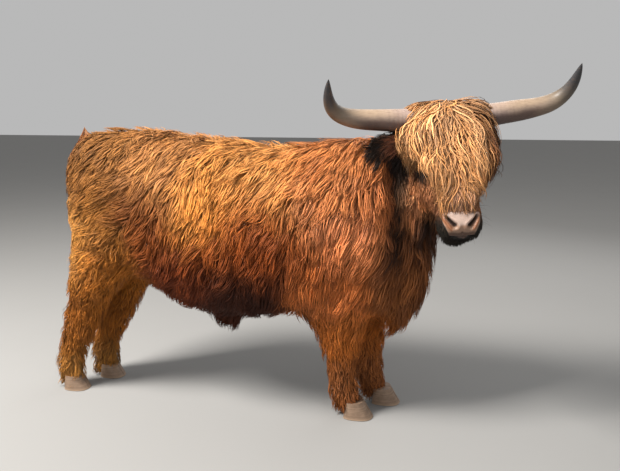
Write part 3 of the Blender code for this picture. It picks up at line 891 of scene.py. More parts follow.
    def _wrinkles(self, face: Array, facing: Array) -> Array:
        """Soft folds behind the nostrils and along the cheeks, and the bones that show."""
        along, aside, out = face.T
        fold = np.sin(along * 210 + out * 90) * 0.0009
        fold *= eased(along, 0.40, 0.43) * eased(along, 0.49, 0.465) * eased(np.abs(aside), 0.03, 0.06)
        ridge = 0.006 * np.exp(-(((out + 0.085 + 0.10 * (along - 0.2)) / 0.018) ** 2))
        ridge *= eased(along, 0.20, 0.25) * eased(along, 0.38, 0.32) * eased(np.abs(aside), 0.05, 0.08)
        brow = np.zeros(len(face))
        for sign in (-1, 1):
            near, _ = mirrored_distance(face, self.brow, sign)
            brow += 0.007 * np.exp(-((near / 0.016) ** 2))
        return face + facing * (fold + ridge + brow)[:, None]

    def _ears(self, points: Array) -> Array:
        """Draws the ears out to leaves: thinner, and narrower to the tip."""
        ears = self.flesh.part_of(points) == Part.EAR.number
        for line in self.stance.ears:
            start, end = self.stance.on_crown(line)
            axis = unit(end - start)
            fore = unit(np.cross(axis, (0.0, 0.0, 1.0)))
            fore *= np.sign(fore @ self.stance.crown[:, 0])
            rise = unit(np.cross(axis, fore))
            rise *= np.sign(rise[2])
            away = points - start
            t = away @ axis / np.linalg.norm(end - start)
            high, thick = away @ rise, away @ fore
            mine = ears & (np.hypot(high, thick) < 0.08) & (t > -0.2) & (t < 1.3)
            tall = np.interp(t, self.ear_share, self.ear_tall)
            deep = np.interp(t, [0.0, 0.5, 0.9, 1.1], [0.016, 0.011, 0.006, 0.001])
            size = np.maximum(np.hypot(high / tall, thick / deep), 0.05)
            high, thick = high / size, thick / size
            thick = thick - self.ear_cup * (1 - (high / tall) ** 2)
            high = high + self.ear_lift * eased(t, 0.3, 1.1)
            bent = start + np.outer(away @ axis, axis) + np.outer(high, rise)
            points = mixed(points, bent + np.outer(thick, fore), mine * eased(t, 0.08, 0.32))
        return points

    def _lids(self, points: Array, centre: Array, sign: int) -> Array:
        """Opens an almond between two lids that lie on the eyeball."""
        out, slit, across = self.stance.eye_axes(sign)
        away = points - centre
        a, b, c = away @ slit, away @ across, away @ out
        distance = np.linalg.norm(away, axis=1)
        tall = self.slit_tall * np.clip(1 - 0.25 * a / self.slit_half, 0.4, 2)
        almond = (a / self.slit_half) ** 2 + (b / tall) ** 2
        near = (distance < 0.075) & (c > -0.010)
        inside = near & (almond < 1)
        socket = near & (almond >= 1)
        result = points.copy()
        sunk = self.eye_radius - 0.006
        result[inside] = centre + unit(away[inside]) * np.minimum(distance[inside], sunk)[:, None]
        edge = np.exp(-np.clip(np.sqrt(almond) - 1, 0, 9) / 0.35)
        wanted = self.eye_radius + self.lid
        pull = edge * eased(distance, 0.075, 0.03)
        radius = distance + (wanted + 0.0012 * edge - distance) * pull
        radius = np.maximum(radius, wanted)
        result[socket] = centre + unit(away[socket]) * radius[socket][:, None]
        crease = 0.0016 * np.exp(-(((np.sqrt(almond) - 1.75) / 0.16) ** 2))
        result[socket] -= unit(away[socket]) * crease[socket][:, None]
        return result


# ---- colours of the coat


def shade(red: float, green: float, blue: float) -> Colour:
    """A colour from three display values of 0 to 255, as light."""
    scaled = [value / 255 for value in (red, green, blue)]
    linear = [v / 12.92 if v <= 0.04045 else ((v + 0.055) / 1.055) ** 2.4 for v in scaled]
    return linear[0], linear[1], linear[2]


@dataclass(frozen=True)
class Patch:
    """A place on the body, in the datum's axes, and the colour of the coat round it."""

    place: Triple
    reach: float
    colour: Colour


def patches(*rows: tuple[Triple, float, Triple]) -> tuple[Patch, ...]:
    """Patches from rows of place, reach and display colour."""
    return tuple(Patch(place, reach, shade(*colour)) for place, reach, colour in rows)


@dataclass
class Markings:
    """The coat's colour at any place, the same for skin and hair, with painted light and shade in it."""

    stance: Stance
    flesh: FleshMap
    # Partly painted light: lighter over the back, the withers and the back of the thigh, and darker down the
    # low barrel and belly, where shade falls.
    body_patches: Sequence[Patch] = patches(
        ((-1.19, 0.0, 1.18), 0.16, (167, 120, 70)),
        ((-1.17, 0.0, 1.01), 0.14, (154, 105, 52)),
        ((-1.17, 0.0, 0.88), 0.12, (178, 126, 62)),
        ((-1.19, 0.0, 0.69), 0.13, (190, 122, 50)),
        ((-1.36, 0.0, 0.78), 0.11, (230, 176, 100)),
        ((-1.40, 0.0, 0.32), 0.16, (174, 110, 44)),
        ((-1.43, 0.0, 0.11), 0.12, (180, 134, 70)),
        ((-0.96, 0.0, 0.91), 0.13, (130, 70, 30)),
        ((-0.64, 0.0, 1.02), 0.12, (240, 168, 84)),
        ((-0.86, 0.0, 1.18), 0.16, (200, 146, 92)),
        ((-0.50, 0.0, 0.87), 0.15, (158, 82, 34)),
        ((-0.51, 0.0, 0.65), 0.12, (52, 24, 12)),
        ((-0.79, 0.0, 0.65), 0.11, (118, 56, 22)),
        ((-0.60, 0.0, 0.50), 0.14, (74, 36, 18)),
        ((-0.475, 0.0, 1.18), 0.16, (226, 166, 100)),
        ((-0.13, 0.0, 1.20), 0.13, (206, 136, 82)),
        ((-0.11, 0.0, 1.07), 0.11, (206, 138, 90)),
        ((-0.06, 0.0, 0.92), 0.11, (224, 148, 102)),
        ((-0.14, 0.0, 0.76), 0.11, (184, 106, 54)),
        ((-0.15, 0.0, 0.62), 0.10, (230, 142, 84)),
        ((-0.12, 0.0, 0.43), 0.12, (196, 118, 52)),
        ((-0.10, 0.0, 0.18), 0.12, (154, 98, 56)),
        ((0.05, 0.0, 1.04), 0.11, (204, 128, 80)),
        ((0.22, 0.05, 0.92), 0.08, (110, 70, 44)),
        ((0.19, 0.0, 0.65), 0.10, (146, 94, 56)),
        ((0.18, 0.0, 0.80), 0.09, (138, 88, 52)),
    )
    # Painted shadow: near black down the crease between shoulder and throat. The cheek is painted lighter
    # against the shadow that the fringe and horn cast on it.
    throat_patches: Sequence[Patch] = patches(
        ((0.140, -0.140, 1.125), 0.045, (40, 30, 26)),
        ((0.098, -0.175, 1.13), 0.032, (44, 32, 27)),
        ((0.108, -0.200, 1.06), 0.038, (38, 29, 25)),
        ((0.110, -0.215, 0.98), 0.038, (38, 29, 25)),
        ((0.110, -0.220, 0.90), 0.036, (40, 30, 25)),
        ((0.114, -0.210, 0.82), 0.034, (60, 40, 30)),
        ((0.175, -0.160, 1.04), 0.046, (255, 194, 146)),
        ((0.210, -0.170, 1.03), 0.046, (255, 190, 140)),
        ((0.175, -0.180, 0.97), 0.042, (228, 156, 108)),
        ((0.195, -0.155, 0.885), 0.036, (84, 54, 38)),
        ((0.237, -0.124, 0.924), 0.032, (46, 38, 34)),
        ((0.255, -0.080, 0.855), 0.034, (84, 54, 38)),
    )
    # Painted shadow in the hollows round the eyes under the fringe, and the cheek painted lighter against
    # that shadow. A dark line runs along the top of the nose pad: partly dark hair, partly painted shade
    # under the hair of the bridge.
    face_patches: Sequence[Patch] = patches(
        ((0.145, 0.14, -0.05), 0.05, (40, 30, 26)),
        ((0.235, 0.14, -0.06), 0.045, (40, 30, 26)),
        ((0.24, 0.13, -0.14), 0.075, (236, 166, 118)),
        ((0.30, 0.11, -0.11), 0.055, (214, 146, 104)),
        ((0.05, 0.11, -0.18), 0.09, (96, 62, 40)),
        ((0.34, 0.08, -0.08), 0.05, (120, 78, 54)),
        ((0.36, 0.06, -0.19), 0.07, (45, 44, 40)),
        ((0.42, 0.085, -0.12), 0.05, (44, 43, 39)),
        ((0.46, 0.090, -0.08), 0.04, (42, 41, 37)),
        ((0.46, 0.03, -0.17), 0.05, (42, 41, 38)),
        ((0.50, 0.03, -0.12), 0.04, (40, 35, 31)),
        ((0.40, 0.0, -0.005), 0.05, (228, 180, 148)),
        ((0.40, 0.05, -0.015), 0.04, (186, 130, 98)),
        ((0.441, 0.0, -0.008), 0.009, (52, 36, 28)),
        ((0.441, 0.03, -0.012), 0.009, (58, 40, 30)),
        ((0.25, 0.0, 0.00), 0.10, (190, 142, 104)),
        ((0.19, 0.10, -0.05), 0.045, (46, 32, 26)),
        ((0.05, 0.0, -0.01), 0.14, (150, 100, 60)),
    )
    ear: Colour = shade(46, 38, 34)
    ear_inside: Colour = shade(168, 116, 92)
    tail: Colour = shade(150, 96, 52)
    # darker round each eye: the dark lids, and painted shade in the eye's hollow under the fringe
    lids: Colour = shade(44, 33, 28)
    clouds: Sequence[tuple[Triple, float]] = (
        ((9.0, 4.0, 6.0), 0.3),
        ((-7.0, 11.0, 8.0), 1.7),
        ((17.0, 6.0, -13.0), 4.1),
        ((5.0, -21.0, 19.0), 2.2),
    )

    def colours(self, points: Array) -> Array:
        """The coat's colours at places in the frame, one a row."""
        part = self.flesh.part_of(points)
        body = self.stance.to_body(points)
        face = self.stance.to_face(points)
        face[:, 1] = np.abs(face[:, 1])
        head = (part == Part.HEAD.number) * eased(face[:, 0], -0.06, 0.10)
        colour, _ = self._blend(body, self.body_patches, 0.15)
        # Over the throat and cheek, the painted shadow and painted light take over where they reach.
        throat, share = self._blend(body, self.throat_patches, 0.35)
        colour = mixed(colour, throat, np.clip(share * 1.6, 0, 1))
        colour = mixed(colour, self._blend(face, self.face_patches, 1.0)[0], head)
        ears = part == Part.EAR.number
        near, rim = np.full(ears.sum(), 9.0), np.zeros(ears.sum())
        for line in self.stance.ears:
            gap, t = line_distance(points[ears], self.stance.on_crown(line))
            closer = gap < near
            near, rim = np.where(closer, gap, near), np.where(closer, t, rim)
        inner = eased(near, 0.040, 0.022) * eased(rim, 0.75, 0.45)
        colour[ears] = mixed(self.ear, self.ear_inside, inner)
        colour[part == Part.TAIL.number] = self.tail
        waves = [np.sin(points @ np.array(wave) + shift) for wave, shift in self.clouds]
        wobble = sum(wave / (1 + i * 0.3) for i, wave in enumerate(waves))
        colour = colour * (1 + 0.07 * wobble)[:, None]
        # Darker round each eye: the dark lids, and painted shade in the hollow under the fringe.
        colour = mixed(colour, self.lids, eased(self.stance.eye_gap(points), 0.055, 0.032))
        return np.clip(colour, 0.004, 0.9)

    @staticmethod
    def _blend(points: Array, table: Sequence[Patch], sideways: float) -> tuple[Array, Array]:
        """A smooth blend of patches.

        Args:
            points: places in the patches' axes.
            table: the patches.
            sideways: how much the distance to the side counts.

        Returns:
            The colours, and the patches' total weight at each place.
        """
        total = np.full((len(points), 1), 1e-9)
        colour = np.zeros((len(points), 3))
        for patch in table:
            gap = (points - patch.place) * (1, sideways, 1)
            weight = np.exp(-np.minimum((gap**2).sum(1, keepdims=True) / patch.reach**2, 18))
            total += weight
            colour += weight * patch.colour
        return colour / total, total[:, 0]


# ---- finishes


@dataclass(frozen=True)
class HairFinish:
    """Hair whose colour comes from the markings, with strands along each lock and painted shade towards the
    roots.
    """

    name: str
    root_shade: float = 0.52
    tip_shade: float = 1.30
    tone_spread: float = 0.34
    gold: Colour = (1.16, 1.0, 0.80)
    red: Colour = (0.98, 0.86, 0.80)
    roughness: float = 0.62
    gloss: float = 0.20
    strands: float = 6.0  # across half a lock
    contrast: float = 0.62  # between strands

    def build(self) -> Material:
        """Makes the material."""
        made, graph, shader = new_material(self.name, {"Specular IOR Level": self.gloss})
        across, along, tone = graph.parts(graph.attribute("lock", "Vector"))
        thread = graph.joined(across * self.strands, along * 1.6, tone * 61.0)
        strand = graph.step(graph.noise(thread, 1.0, 2.0, 0.6), 0.30, 0.70)
        # Painted shade: each lock is darker towards its root, deep in the coat, and paler towards its
        # sun-bleached tip.
        light = (along**0.7) * (self.tip_shade - self.root_shade) + self.root_shade
        light = light * (tone * self.tone_spread + (1 - self.tone_spread / 2))
        light = light * (strand * self.contrast + (1 - self.contrast / 2))
        coat = graph.attribute("coat", "Color")
        tint = graph.mix(graph.step(tone + along * 0.3, 0.25, 1.0), self.red, self.gold)
        colour = graph.scaled(graph.mix(1.0, coat, tint, "MULTIPLY"), light)
        rough = strand * 0.2 + (self.roughness - 0.10)
        bump = graph.bump(strand, 0.8, 0.0016)
        graph.feed(shader, {"Base Color": colour, "Roughness": rough, "Normal": bump})
        return made


@dataclass(frozen=True)
class SkinFinish:
    """Skin with short dark underfur, painted darker still as shade between the locks, and a bare moist nose
    pad and lips.
    """

    name: str = "skin"
    # how far the coat's colour is darkened on the skin: painted shade in the gaps between locks
    under: float = 0.62
    pad_light: Colour = shade(178, 153, 139)
    pad_deep: Colour = shade(168, 128, 108)
    pad_tan: Colour = shade(138, 108, 88)
    pad_low: Colour = shade(78, 56, 44)
    pad_wing: Colour = shade(142, 92, 62)
    pad_speck: Colour = shade(96, 72, 60)
    # painted shadow for the nostrils and the mouth line
    pad_groove: Colour = (0.030, 0.016, 0.012)
    roughness: float = 0.72
    pad_roughness: float = 0.40

    def build(self) -> Material:
        """Makes the material."""
        made, graph, shader = new_material(self.name, {"Specular IOR Level": 0.35})
        place = graph.place()
        fur = graph.noise(graph.vector("MULTIPLY", place, (1.0, 1.0, 0.22)), 420.0, 3.0, 0.6)
        # Painted shade: the coat's colour darkened where the skin shows between locks.
        underfur_in_shade = graph.scaled(graph.attribute("coat", "Color"), (fur * 0.9 + 0.55) * self.under)
        pad = graph.attribute("pad")
        blotch = graph.noise(place, 55.0, 3.0, 0.6)
        fine = graph.noise(place, 330.0, 2.0, 0.5)
        down = graph.attribute("down") + (blotch - 0.5) * 0.02
        skin = graph.mix(graph.step(down, 0.060, 0.076), self.pad_light, self.pad_tan)
        skin = graph.mix(graph.step(blotch, 0.56, 0.70) * 0.5, skin, self.pad_deep)
        skin = graph.mix(graph.step(down, 0.098, 0.112), skin, self.pad_low)
        skin = graph.mix(graph.attribute("wing"), skin, self.pad_wing)
        skin = graph.mix(graph.step(fine, 0.58, 0.66) * 0.5, skin, self.pad_speck)
        # Painted shadow: near black in the nostrils and along the mouth line.
        skin = graph.mix(graph.attribute("deep"), skin, self.pad_groove)
        share = graph.step(pad + (fine - 0.5) * 0.5, 0.30, 0.62)
        rough = share * (self.pad_roughness - self.roughness) + self.roughness
        inputs = {"Vector": place, "Scale": 190.0}
        cells = graph.node("ShaderNodeTexVoronoi", {"feature": "DISTANCE_TO_EDGE"}, inputs)
        pebble = graph.step(graph.out(cells, "Distance"), 0.0, 0.22)
        bump = graph.bump(pebble * share * 0.6 + fur * (1 - share), 0.5, 0.0008)
        colour = graph.mix(share, underfur_in_shade, skin)
        graph.feed(shader, {"Base Color": colour, "Roughness": rough, "Normal": bump})
        return made


@dataclass(frozen=True)
class HornFinish:
    """Keratin, from dull cream at the root through tan to a slate tip, with painted shade on the underside
    short of the tip.
    """

    name: str = "horn"
    root: Colour = shade(160, 138, 130)
    middle: Colour = shade(156, 134, 112)
    far: Colour = shade(98, 87, 74)
    tip: Colour = shade(50, 51, 54)
    # painted shade for the horn's underside
    under: Colour = shade(66, 46, 44)
    streak: Colour = shade(96, 76, 62)

    def build(self) -> Material:
        """Makes the material."""
        made, graph, shader = new_material(self.name, {"Specular IOR Level": 0.45})
        reach = graph.attribute("reach")
        place = graph.place()
        cloud = graph.noise(place, 16.0, 3.0, 0.55)
        grain = graph.noise(graph.vector("MULTIPLY", place, (1.0, 1.0, 5.0)), 34.0, 4.0, 0.62)
        spot = reach + (cloud - 0.5) * 0.16
        colour = graph.mix(graph.step(spot, 0.02, 0.38), self.root, self.middle)
        colour = graph.mix(graph.step(spot, 0.42, 0.72), colour, self.far)
        colour = graph.mix(graph.step(spot, 0.66, 0.84), colour, self.tip)
        colour = graph.mix(graph.step(grain, 0.42, 0.70) * 0.3, colour, self.streak)
        # Painted shade: darker where the surface faces down, short of the tip.
        _, _, up = graph.parts(graph.out(graph.node("ShaderNodeNewGeometry"), "Normal"))
        under = graph.step(up + (cloud - 0.5) * 0.6, 0.65, -0.35) * graph.step(reach, 0.66, 0.40)
        colour = graph.mix(under * 0.85, colour, self.under)
        bump = graph.bump(grain, 0.35, 0.0012)
        graph.feed(shader, {"Base Color": colour, "Roughness": grain * 0.25 + 0.36, "Normal": bump})
        return made


@dataclass(frozen=True)
class HoofFinish:
    """Worn grey-brown horn with growth rings, and dust at the ground."""

    name: str = "hoof"
    horn: Colour = shade(138, 114, 94)
    dark: Colour = shade(104, 84, 68)
    dust: Colour = shade(168, 142, 118)

    def build(self) -> Material:
        """Makes the material."""
        made, graph, shader = new_material(self.name, {"Specular IOR Level": 0.35})
        place = graph.place()
        _, _, up = graph.parts(place)
        cloud = graph.noise(place, 38.0, 3.0, 0.6)
        ring = graph.noise(graph.joined(0.0, cloud * 0.4, up * 150.0), 1.0, 2.0, 0.5)
        colour = graph.mix(graph.step(ring + (cloud - 0.5) * 0.9, 0.15, 0.85), self.dark, self.horn)
        colour = graph.mix(graph.step(up + cloud * 0.02, 0.030, 0.004) * 0.7, colour, self.dust)
        bump = graph.bump(ring, 0.4, 0.0010)
        graph.feed(shader, {"Base Color": colour, "Roughness": cloud * 0.3 + 0.42, "Normal": bump})
        return made


@dataclass(frozen=True)
class EyeFinish:
    """Wet dark brown eye with a long level pupil."""

    name: str = "eye"
    iris: Colour = shade(70, 42, 26)
    edge: Colour = shade(24, 14, 10)
    white: Colour = shade(92, 68, 56)
    pupil: Colour = (0.003, 0.002, 0.002)

    def build(self) -> Material:
        """Makes the material."""
        wet = {"Specular IOR Level": 0.7, "Roughness": 0.06, "Coat Weight": 1.0, "Coat Roughness": 0.03}
        made, graph, shader = new_material(self.name, wet)
        along, across, rim = graph.parts(graph.attribute("gaze", "Vector"))
        rays = graph.noise(graph.joined(along * 30.0, across * 30.0, rim * 2.0), 3.0, 3.0, 0.6)
        colour = graph.mix(rays, self.edge, self.iris)
        pupil = graph.vector("LENGTH", graph.joined(along * 1.9, across * 4.2, 0.0), output="Value")
        colour = graph.mix(graph.step(pupil, 1.05, 0.85), colour, self.pupil)
        colour = graph.mix(graph.step(rim, 0.64, 0.72), colour, self.edge)
        colour = graph.mix(graph.step(rim, 0.74, 0.86), colour, self.white)
        graph.feed(shader, {"Base Color": colour})
        return made


@dataclass(frozen=True)
class FloorFinish:
    """Plain pale floor."""

    name: str = "floor"
    colour: Colour = shade(140, 139, 137)
    cloudy: Colour = shade(126, 125, 123)

    def build(self) -> Material:
        """Makes the material."""
        made, graph, shader = new_material(self.name, {"Specular IOR Level": 0.1})
        cloud = graph.noise(graph.place(), 2.0, 3.0, 0.5)
        colour = graph.mix(cloud * 0.12, self.colour, self.cloudy)
        graph.feed(shader, {"Base Color": colour, "Roughness": cloud * 0.1 + 0.85})
        return made


# ---- the coat


class Ground:
    """A surface that hair grows on: its triangles, its bake map and a quick search for places."""

    def __init__(self, item: Item) -> None:
        """Reads the mesh."""
        mesh = item.data
        mesh.calc_loop_triangles()
        count = len(mesh.loop_triangles)
        corners, loops = np.empty(count * 3, np.int32), np.empty(count * 3, np.int32)
        mesh.loop_triangles.foreach_get("vertices", corners)
        mesh.loop_triangles.foreach_get("loops", loops)
        flat = np.empty(len(mesh.loops) * 2, np.float32)
        mesh.uv_layers[BAKE_MAP].data.foreach_get("uv", flat)
        self.points, self.normals = places(mesh), normals(mesh)
        self.corners, self.loops = corners.reshape(-1, 3), loops.reshape(-1, 3)
        self.map = flat.reshape(-1, 2).astype(float)
        self.tree = BVHTree.FromPolygons(self.points.tolist(), self.corners.tolist())
        edges = self.points[self.corners]
        self.area = np.linalg.norm(np.cross(edges[:, 1] - edges[:, 0], edges[:, 2] - edges[:, 0]), axis=1) / 2

    def sow(self, density: Array, rng: np.random.Generator) -> tuple[Array, Array]:
        """Spreads roots evenly by density.

        Args:
            density: roots for each square metre, at every vertex.
            rng: the source of chance.

        Returns:
            The triangle of every root, and its shares of the three corners.
        """
        wanted = np.cumsum(self.area * density[self.corners].mean(axis=1))
        count = int(wanted[-1])
        spots = np.searchsorted(wanted, (np.arange(count) + rng.random(count)) * wanted[-1] / count)
        spots = np.minimum(spots, len(wanted) - 1)
        one, two = np.sqrt(rng.random(count)), rng.random(count)
        return spots, np.column_stack([1 - one, one * (1 - two), one * two])

    def at(self, values: Array, spots: Array, shares: Array) -> Array:
        """A vertex value at the roots."""
        found = values[self.corners[spots]]
        return np.einsum("ij,ij...->i...", shares, found)

    def map_at(self, spots: Array, shares: Array) -> Array:
        """The bake map's place of the roots."""
        return np.einsum("ij,ijk->ik", shares, self.map[self.loops[spots]])

    def nearest(self, points: Array) -> tuple[Array, Array, Array]:
        """The nearest places on the surface, their normals and their triangles."""
        find = self.tree.find_nearest
        hits = [find(p) for p in points.tolist()]
        spots = np.array([hit[2] for hit in hits])
        return np.array([hit[0] for hit in hits]), unit(self.normals[self.corners[spots]].mean(axis=1)), spots


@dataclass
class Locks:
    """Hair as solid tapered locks that follow a surface."""

    ground: Ground
    growth: Growth
    seed: int
    steps: int = 4
    clump_size: int = 22
    clump: float = 0.75
    low: float = 0.45  # the least of the coat's depth that a lock reaches, as a share
    high: float = 1.05  # and the most
    flat: float = 0.16  # thickness for its width
    roll: float = 0.40  # how far locks turn about their own length
    relief: float = 0.30  # how much some groups stand out over others, for the coat's depth
    hang: float = 0.022  # how much further hair may fall free under the body
    cuff: tuple[float, float] = (0.22, 0.12)  # heights where the shanks' hair begins to fall free
    cuff_hang: float = 0.06
    smoothing: int = 2
    floor: float = 0.012  # the lowest that hair hangs
    patch: float = 0.003  # of a lock on the bake map
    profile_share: Sequence[float] = (0, 0.2, 0.55, 0.85, 1)  # along a lock
    profile_width: Sequence[float] = (0.5, 1.0, 0.82, 0.42, 0.0)  # of its width, at those

    def grow(self, density: Array) -> None:
        """Sows the roots and traces every lock.

        Args:
            density: roots for each square metre, at every vertex of the ground.
        """
        rng = np.random.default_rng(self.seed)
        self.spots, shares = self.ground.sow(density, rng)
        self.count = len(self.spots)
        self.at_root = Growth.of_rows(self.ground.at(self.growth.rows(), self.spots, shares))
        self.root = self.ground.at(self.ground.points, self.spots, shares)
        self.map = self.ground.map_at(self.spots, shares)
        out = unit(self.ground.at(self.ground.normals, self.spots, shares))
        reach = self.at_root.depth * (self.low + (self.high - self.low) * rng.random(self.count))
        length = self.at_root.length * (0.65 + 0.6 * rng.random(self.count))
        scatter = rng.normal(size=(self.count, 3)) * self.at_root.stray[:, None]
        self._trace(out, reach, length, scatter)
        self._gather(rng)
        self._wave(length)
        self.width = self.at_root.width * (0.5 + 1.0 * rng.random(self.count) ** 2)
        self.turn = rng.normal(size=self.count) * self.roll

    def _trace(self, out: Array, reach: Array, length: Array, scatter: Array) -> None:
        """Leads every lock along the surface, rising from its root to its reach."""
        here = self.root + out * (reach * 0.05)[:, None]
        spine, up = [here], [out]
        lies = self.growth.lie
        before = None
        spots = self.spots
        for step in range(1, self.steps + 1):
            lie = unit(lies[self.ground.corners[spots]].mean(axis=1)) + scatter
            inward = (lie * out).sum(1)
            lie = lie - out * np.where(inward < 0, inward, inward * 0.45)[:, None]
            heading = unit(lie) if before is None else unit(unit(lie) + before * 0.7)
            here = here + heading * (length / self.steps)[:, None]
            foot, out, spots = self.ground.nearest(here)
            height = ((here - foot) * out).sum(1)
            share = step / self.steps
            rise = math.sin(min(1.0, share * 1.2) * math.pi / 2)
            lowest = reach * (0.10 + 0.90 * rise) - reach * 0.12 * max(0.0, share - 0.7)
            low = eased(self.root[:, 2], *self.cuff)
            below = np.maximum(eased(-out[:, 2], 0.2, 0.8), low * eased(-out[:, 2], -0.3, 0.3))
            highest = np.maximum(reach, lowest + 0.001) + (self.hang + self.cuff_hang * low) * below * share
            here = here + out * (np.clip(height, lowest, highest) - height)[:, None]
            here[:, 2] = np.maximum(here[:, 2], self.floor)
            spine.append(here)
            up.append(out)
            before = heading
        self.spine, self.up = np.stack(spine, axis=1), np.stack(up, axis=1)
        for _ in range(self.smoothing):
            for line in (self.spine, self.up):
                line[:, 1:-1] = line[:, 1:-1] * 0.4 + (line[:, :-2] + line[:, 2:]) * 0.3

    def _gather(self, rng: np.random.Generator) -> None:
        """Draws the tips of neighbours together, and gives each group one tone and one wave."""
        leaders = rng.permutation(self.count)[: max(1, self.count // self.clump_size)]
        tree = KDTree(len(leaders))
        for i, place in enumerate(self.root[leaders].tolist()):
            tree.insert(place, i)
        tree.balance()
        group = np.array([tree.find(place)[1] for place in self.root.tolist()])
        lead = self.spine[leaders[group]]
        share = np.linspace(0, 1, self.steps + 1)[None, :, None]
        offset = (self.spine[:, :1] - lead[:, :1]) * (1 - 0.8 * share)
        pull = self.clump * share**1.2 * rng.uniform(0.3, 1.3, (self.count, 1, 1))
        self.spine = self.spine + (lead + offset - self.spine) * np.clip(pull, 0, 1)
        swell = rng.uniform(-1, 1, len(leaders))[group] * self.relief * self.at_root.depth
        arch = swell[:, None] * np.sin(share[:, :, 0] * math.pi * 0.8)
        self.spine = self.spine + self.up * arch[:, :, None]
        tones = rng.random(len(leaders))
        self.tone = np.clip(tones[group] * 0.6 + rng.random(self.count) * 0.4, 0, 1)
        self.phase = rng.uniform(0, 2 * math.pi, len(leaders))[group] + rng.normal(size=self.count) * 0.4
        self.swing = rng.uniform(0.3, 1.5, len(leaders))[group] * rng.uniform(0.8, 1.2, self.count)

    def _wave(self, length: Array) -> None:
        """Waves the locks to their sides, and a little up and down."""
        ahead = np.gradient(self.spine, axis=1)
        side = unit(np.cross(self.up, ahead))
        share = np.linspace(0, 1, self.steps + 1)[None, :]
        turn = self.phase[:, None] + 2 * math.pi * share * (length / self.at_root.wave)[:, None]
        size = (self.at_root.curl * self.swing)[:, None] * np.minimum(1, share * 1.8)
        self.spine = self.spine + side * (np.sin(turn) * size)[:, :, None]
        self.spine = self.spine + self.up * (np.cos(turn) * size * 0.35)[:, :, None]

    def build(self, name: str, colour: Array, finish: Material, seed: int) -> Item:
        """Makes one piece of the locks, as many as fit in it.

        Args:
            name: the piece's name.
            colour: the coat's colour at every lock's root.
            finish: its material.
            seed: for the choice, where there are too many.

        Returns:
            The piece.
        """
        chosen = np.arange(self.count)
        most = MOST_TRIANGLES // ((self.steps - 1) * 6 + 4)
        if self.count > most:
            chosen = np.random.default_rng(seed).permutation(chosen)[:most]
        LOG.info("%s: %d locks of %d", name, len(chosen), self.count)
        spine, up = self.spine[chosen], self.up[chosen]
        count, rings = spine.shape[0], spine.shape[1] - 1
        ahead = unit(np.gradient(spine, axis=1))
        side = unit(np.cross(up, ahead))
        over = unit(np.cross(ahead, side))
        cosine, sine = np.cos(self.turn[chosen])[:, None, None], np.sin(self.turn[chosen])[:, None, None]
        side, over = side * cosine + over * sine, over * cosine - side * sine
        share = np.linspace(0, 1, rings + 1)
        profile = np.interp(share, self.profile_share, self.profile_width)[:-1]
        half = (self.width[chosen, None] * profile / 2)[:, :, None]
        middle = spine[:, :-1]
        left, right = middle + side[:, :-1] * half, middle - side[:, :-1] * half
        ridge = middle + over[:, :-1] * half * 2 * self.flat
        body = np.stack([left, ridge, right], axis=2).reshape(count, rings * 3, 3)
        points = np.concatenate([body, spine[:, -1:]], axis=1)
        ring = np.arange(rings - 1)[:, None] * 3
        sides = ((0, 1), (1, 2), (2, 0))
        rows = [np.hstack([ring + a, ring + b, ring + 3 + b, ring + 3 + a]) for a, b in sides]
        quads = np.concatenate(rows)
        last, tip = (rings - 1) * 3, rings * 3
        tris = np.array([(0, 2, 1), *((last + a, last + b, tip) for a, b in sides)])
        size = rings * 3 + 1
        base = (np.arange(count) * size)[:, None, None]
        loops = np.hstack([(faces[None] + base).reshape(count, -1) for faces in (quads, tris)])
        sizes = np.tile(np.r_[np.full(len(quads), 4), np.full(len(tris), 3)], count)
        across = np.r_[np.tile([-1.0, 0.0, 1.0], rings), 0.0]
        along = np.r_[np.repeat(share[:-1], 3), 1.0]
        lock = np.empty((count, size, 3), np.float32)
        lock[:, :, 0], lock[:, :, 1], lock[:, :, 2] = across, along, self.tone[chosen][:, None]
        mesh = bpy.data.meshes.new(name)
        mesh.vertices.add(count * size)
        mesh.vertices.foreach_set("co", points.astype(np.float32).ravel())
        mesh.loops.add(loops.size)
        mesh.loops.foreach_set("vertex_index", loops.astype(np.int32).ravel())
        mesh.polygons.add(len(sizes))
        starts = np.concatenate([[0], np.cumsum(sizes)[:-1]])
        mesh.polygons.foreach_set("loop_start", starts.astype(np.int32))
        mesh.update(calc_edges=True)
        store(mesh, "lock", lock.reshape(-1, 3))
        store_coat(mesh, np.repeat(colour[chosen], size, axis=0))
        spread = np.column_stack([across * 0.5 + 0.5, along]) * self.patch
        flat = self.map[chosen][:, None] + spread[None]
        flat = np.clip(flat.reshape(-1, 2), 0, 1)
        layer = mesh.uv_layers.new(name=BAKE_MAP)
        layer.data.foreach_set("uv", flat[loops.ravel()].astype(np.float32).ravel())
        mesh.validate()
        item = new_object(name, mesh)
        dress(item, finish)
        return item


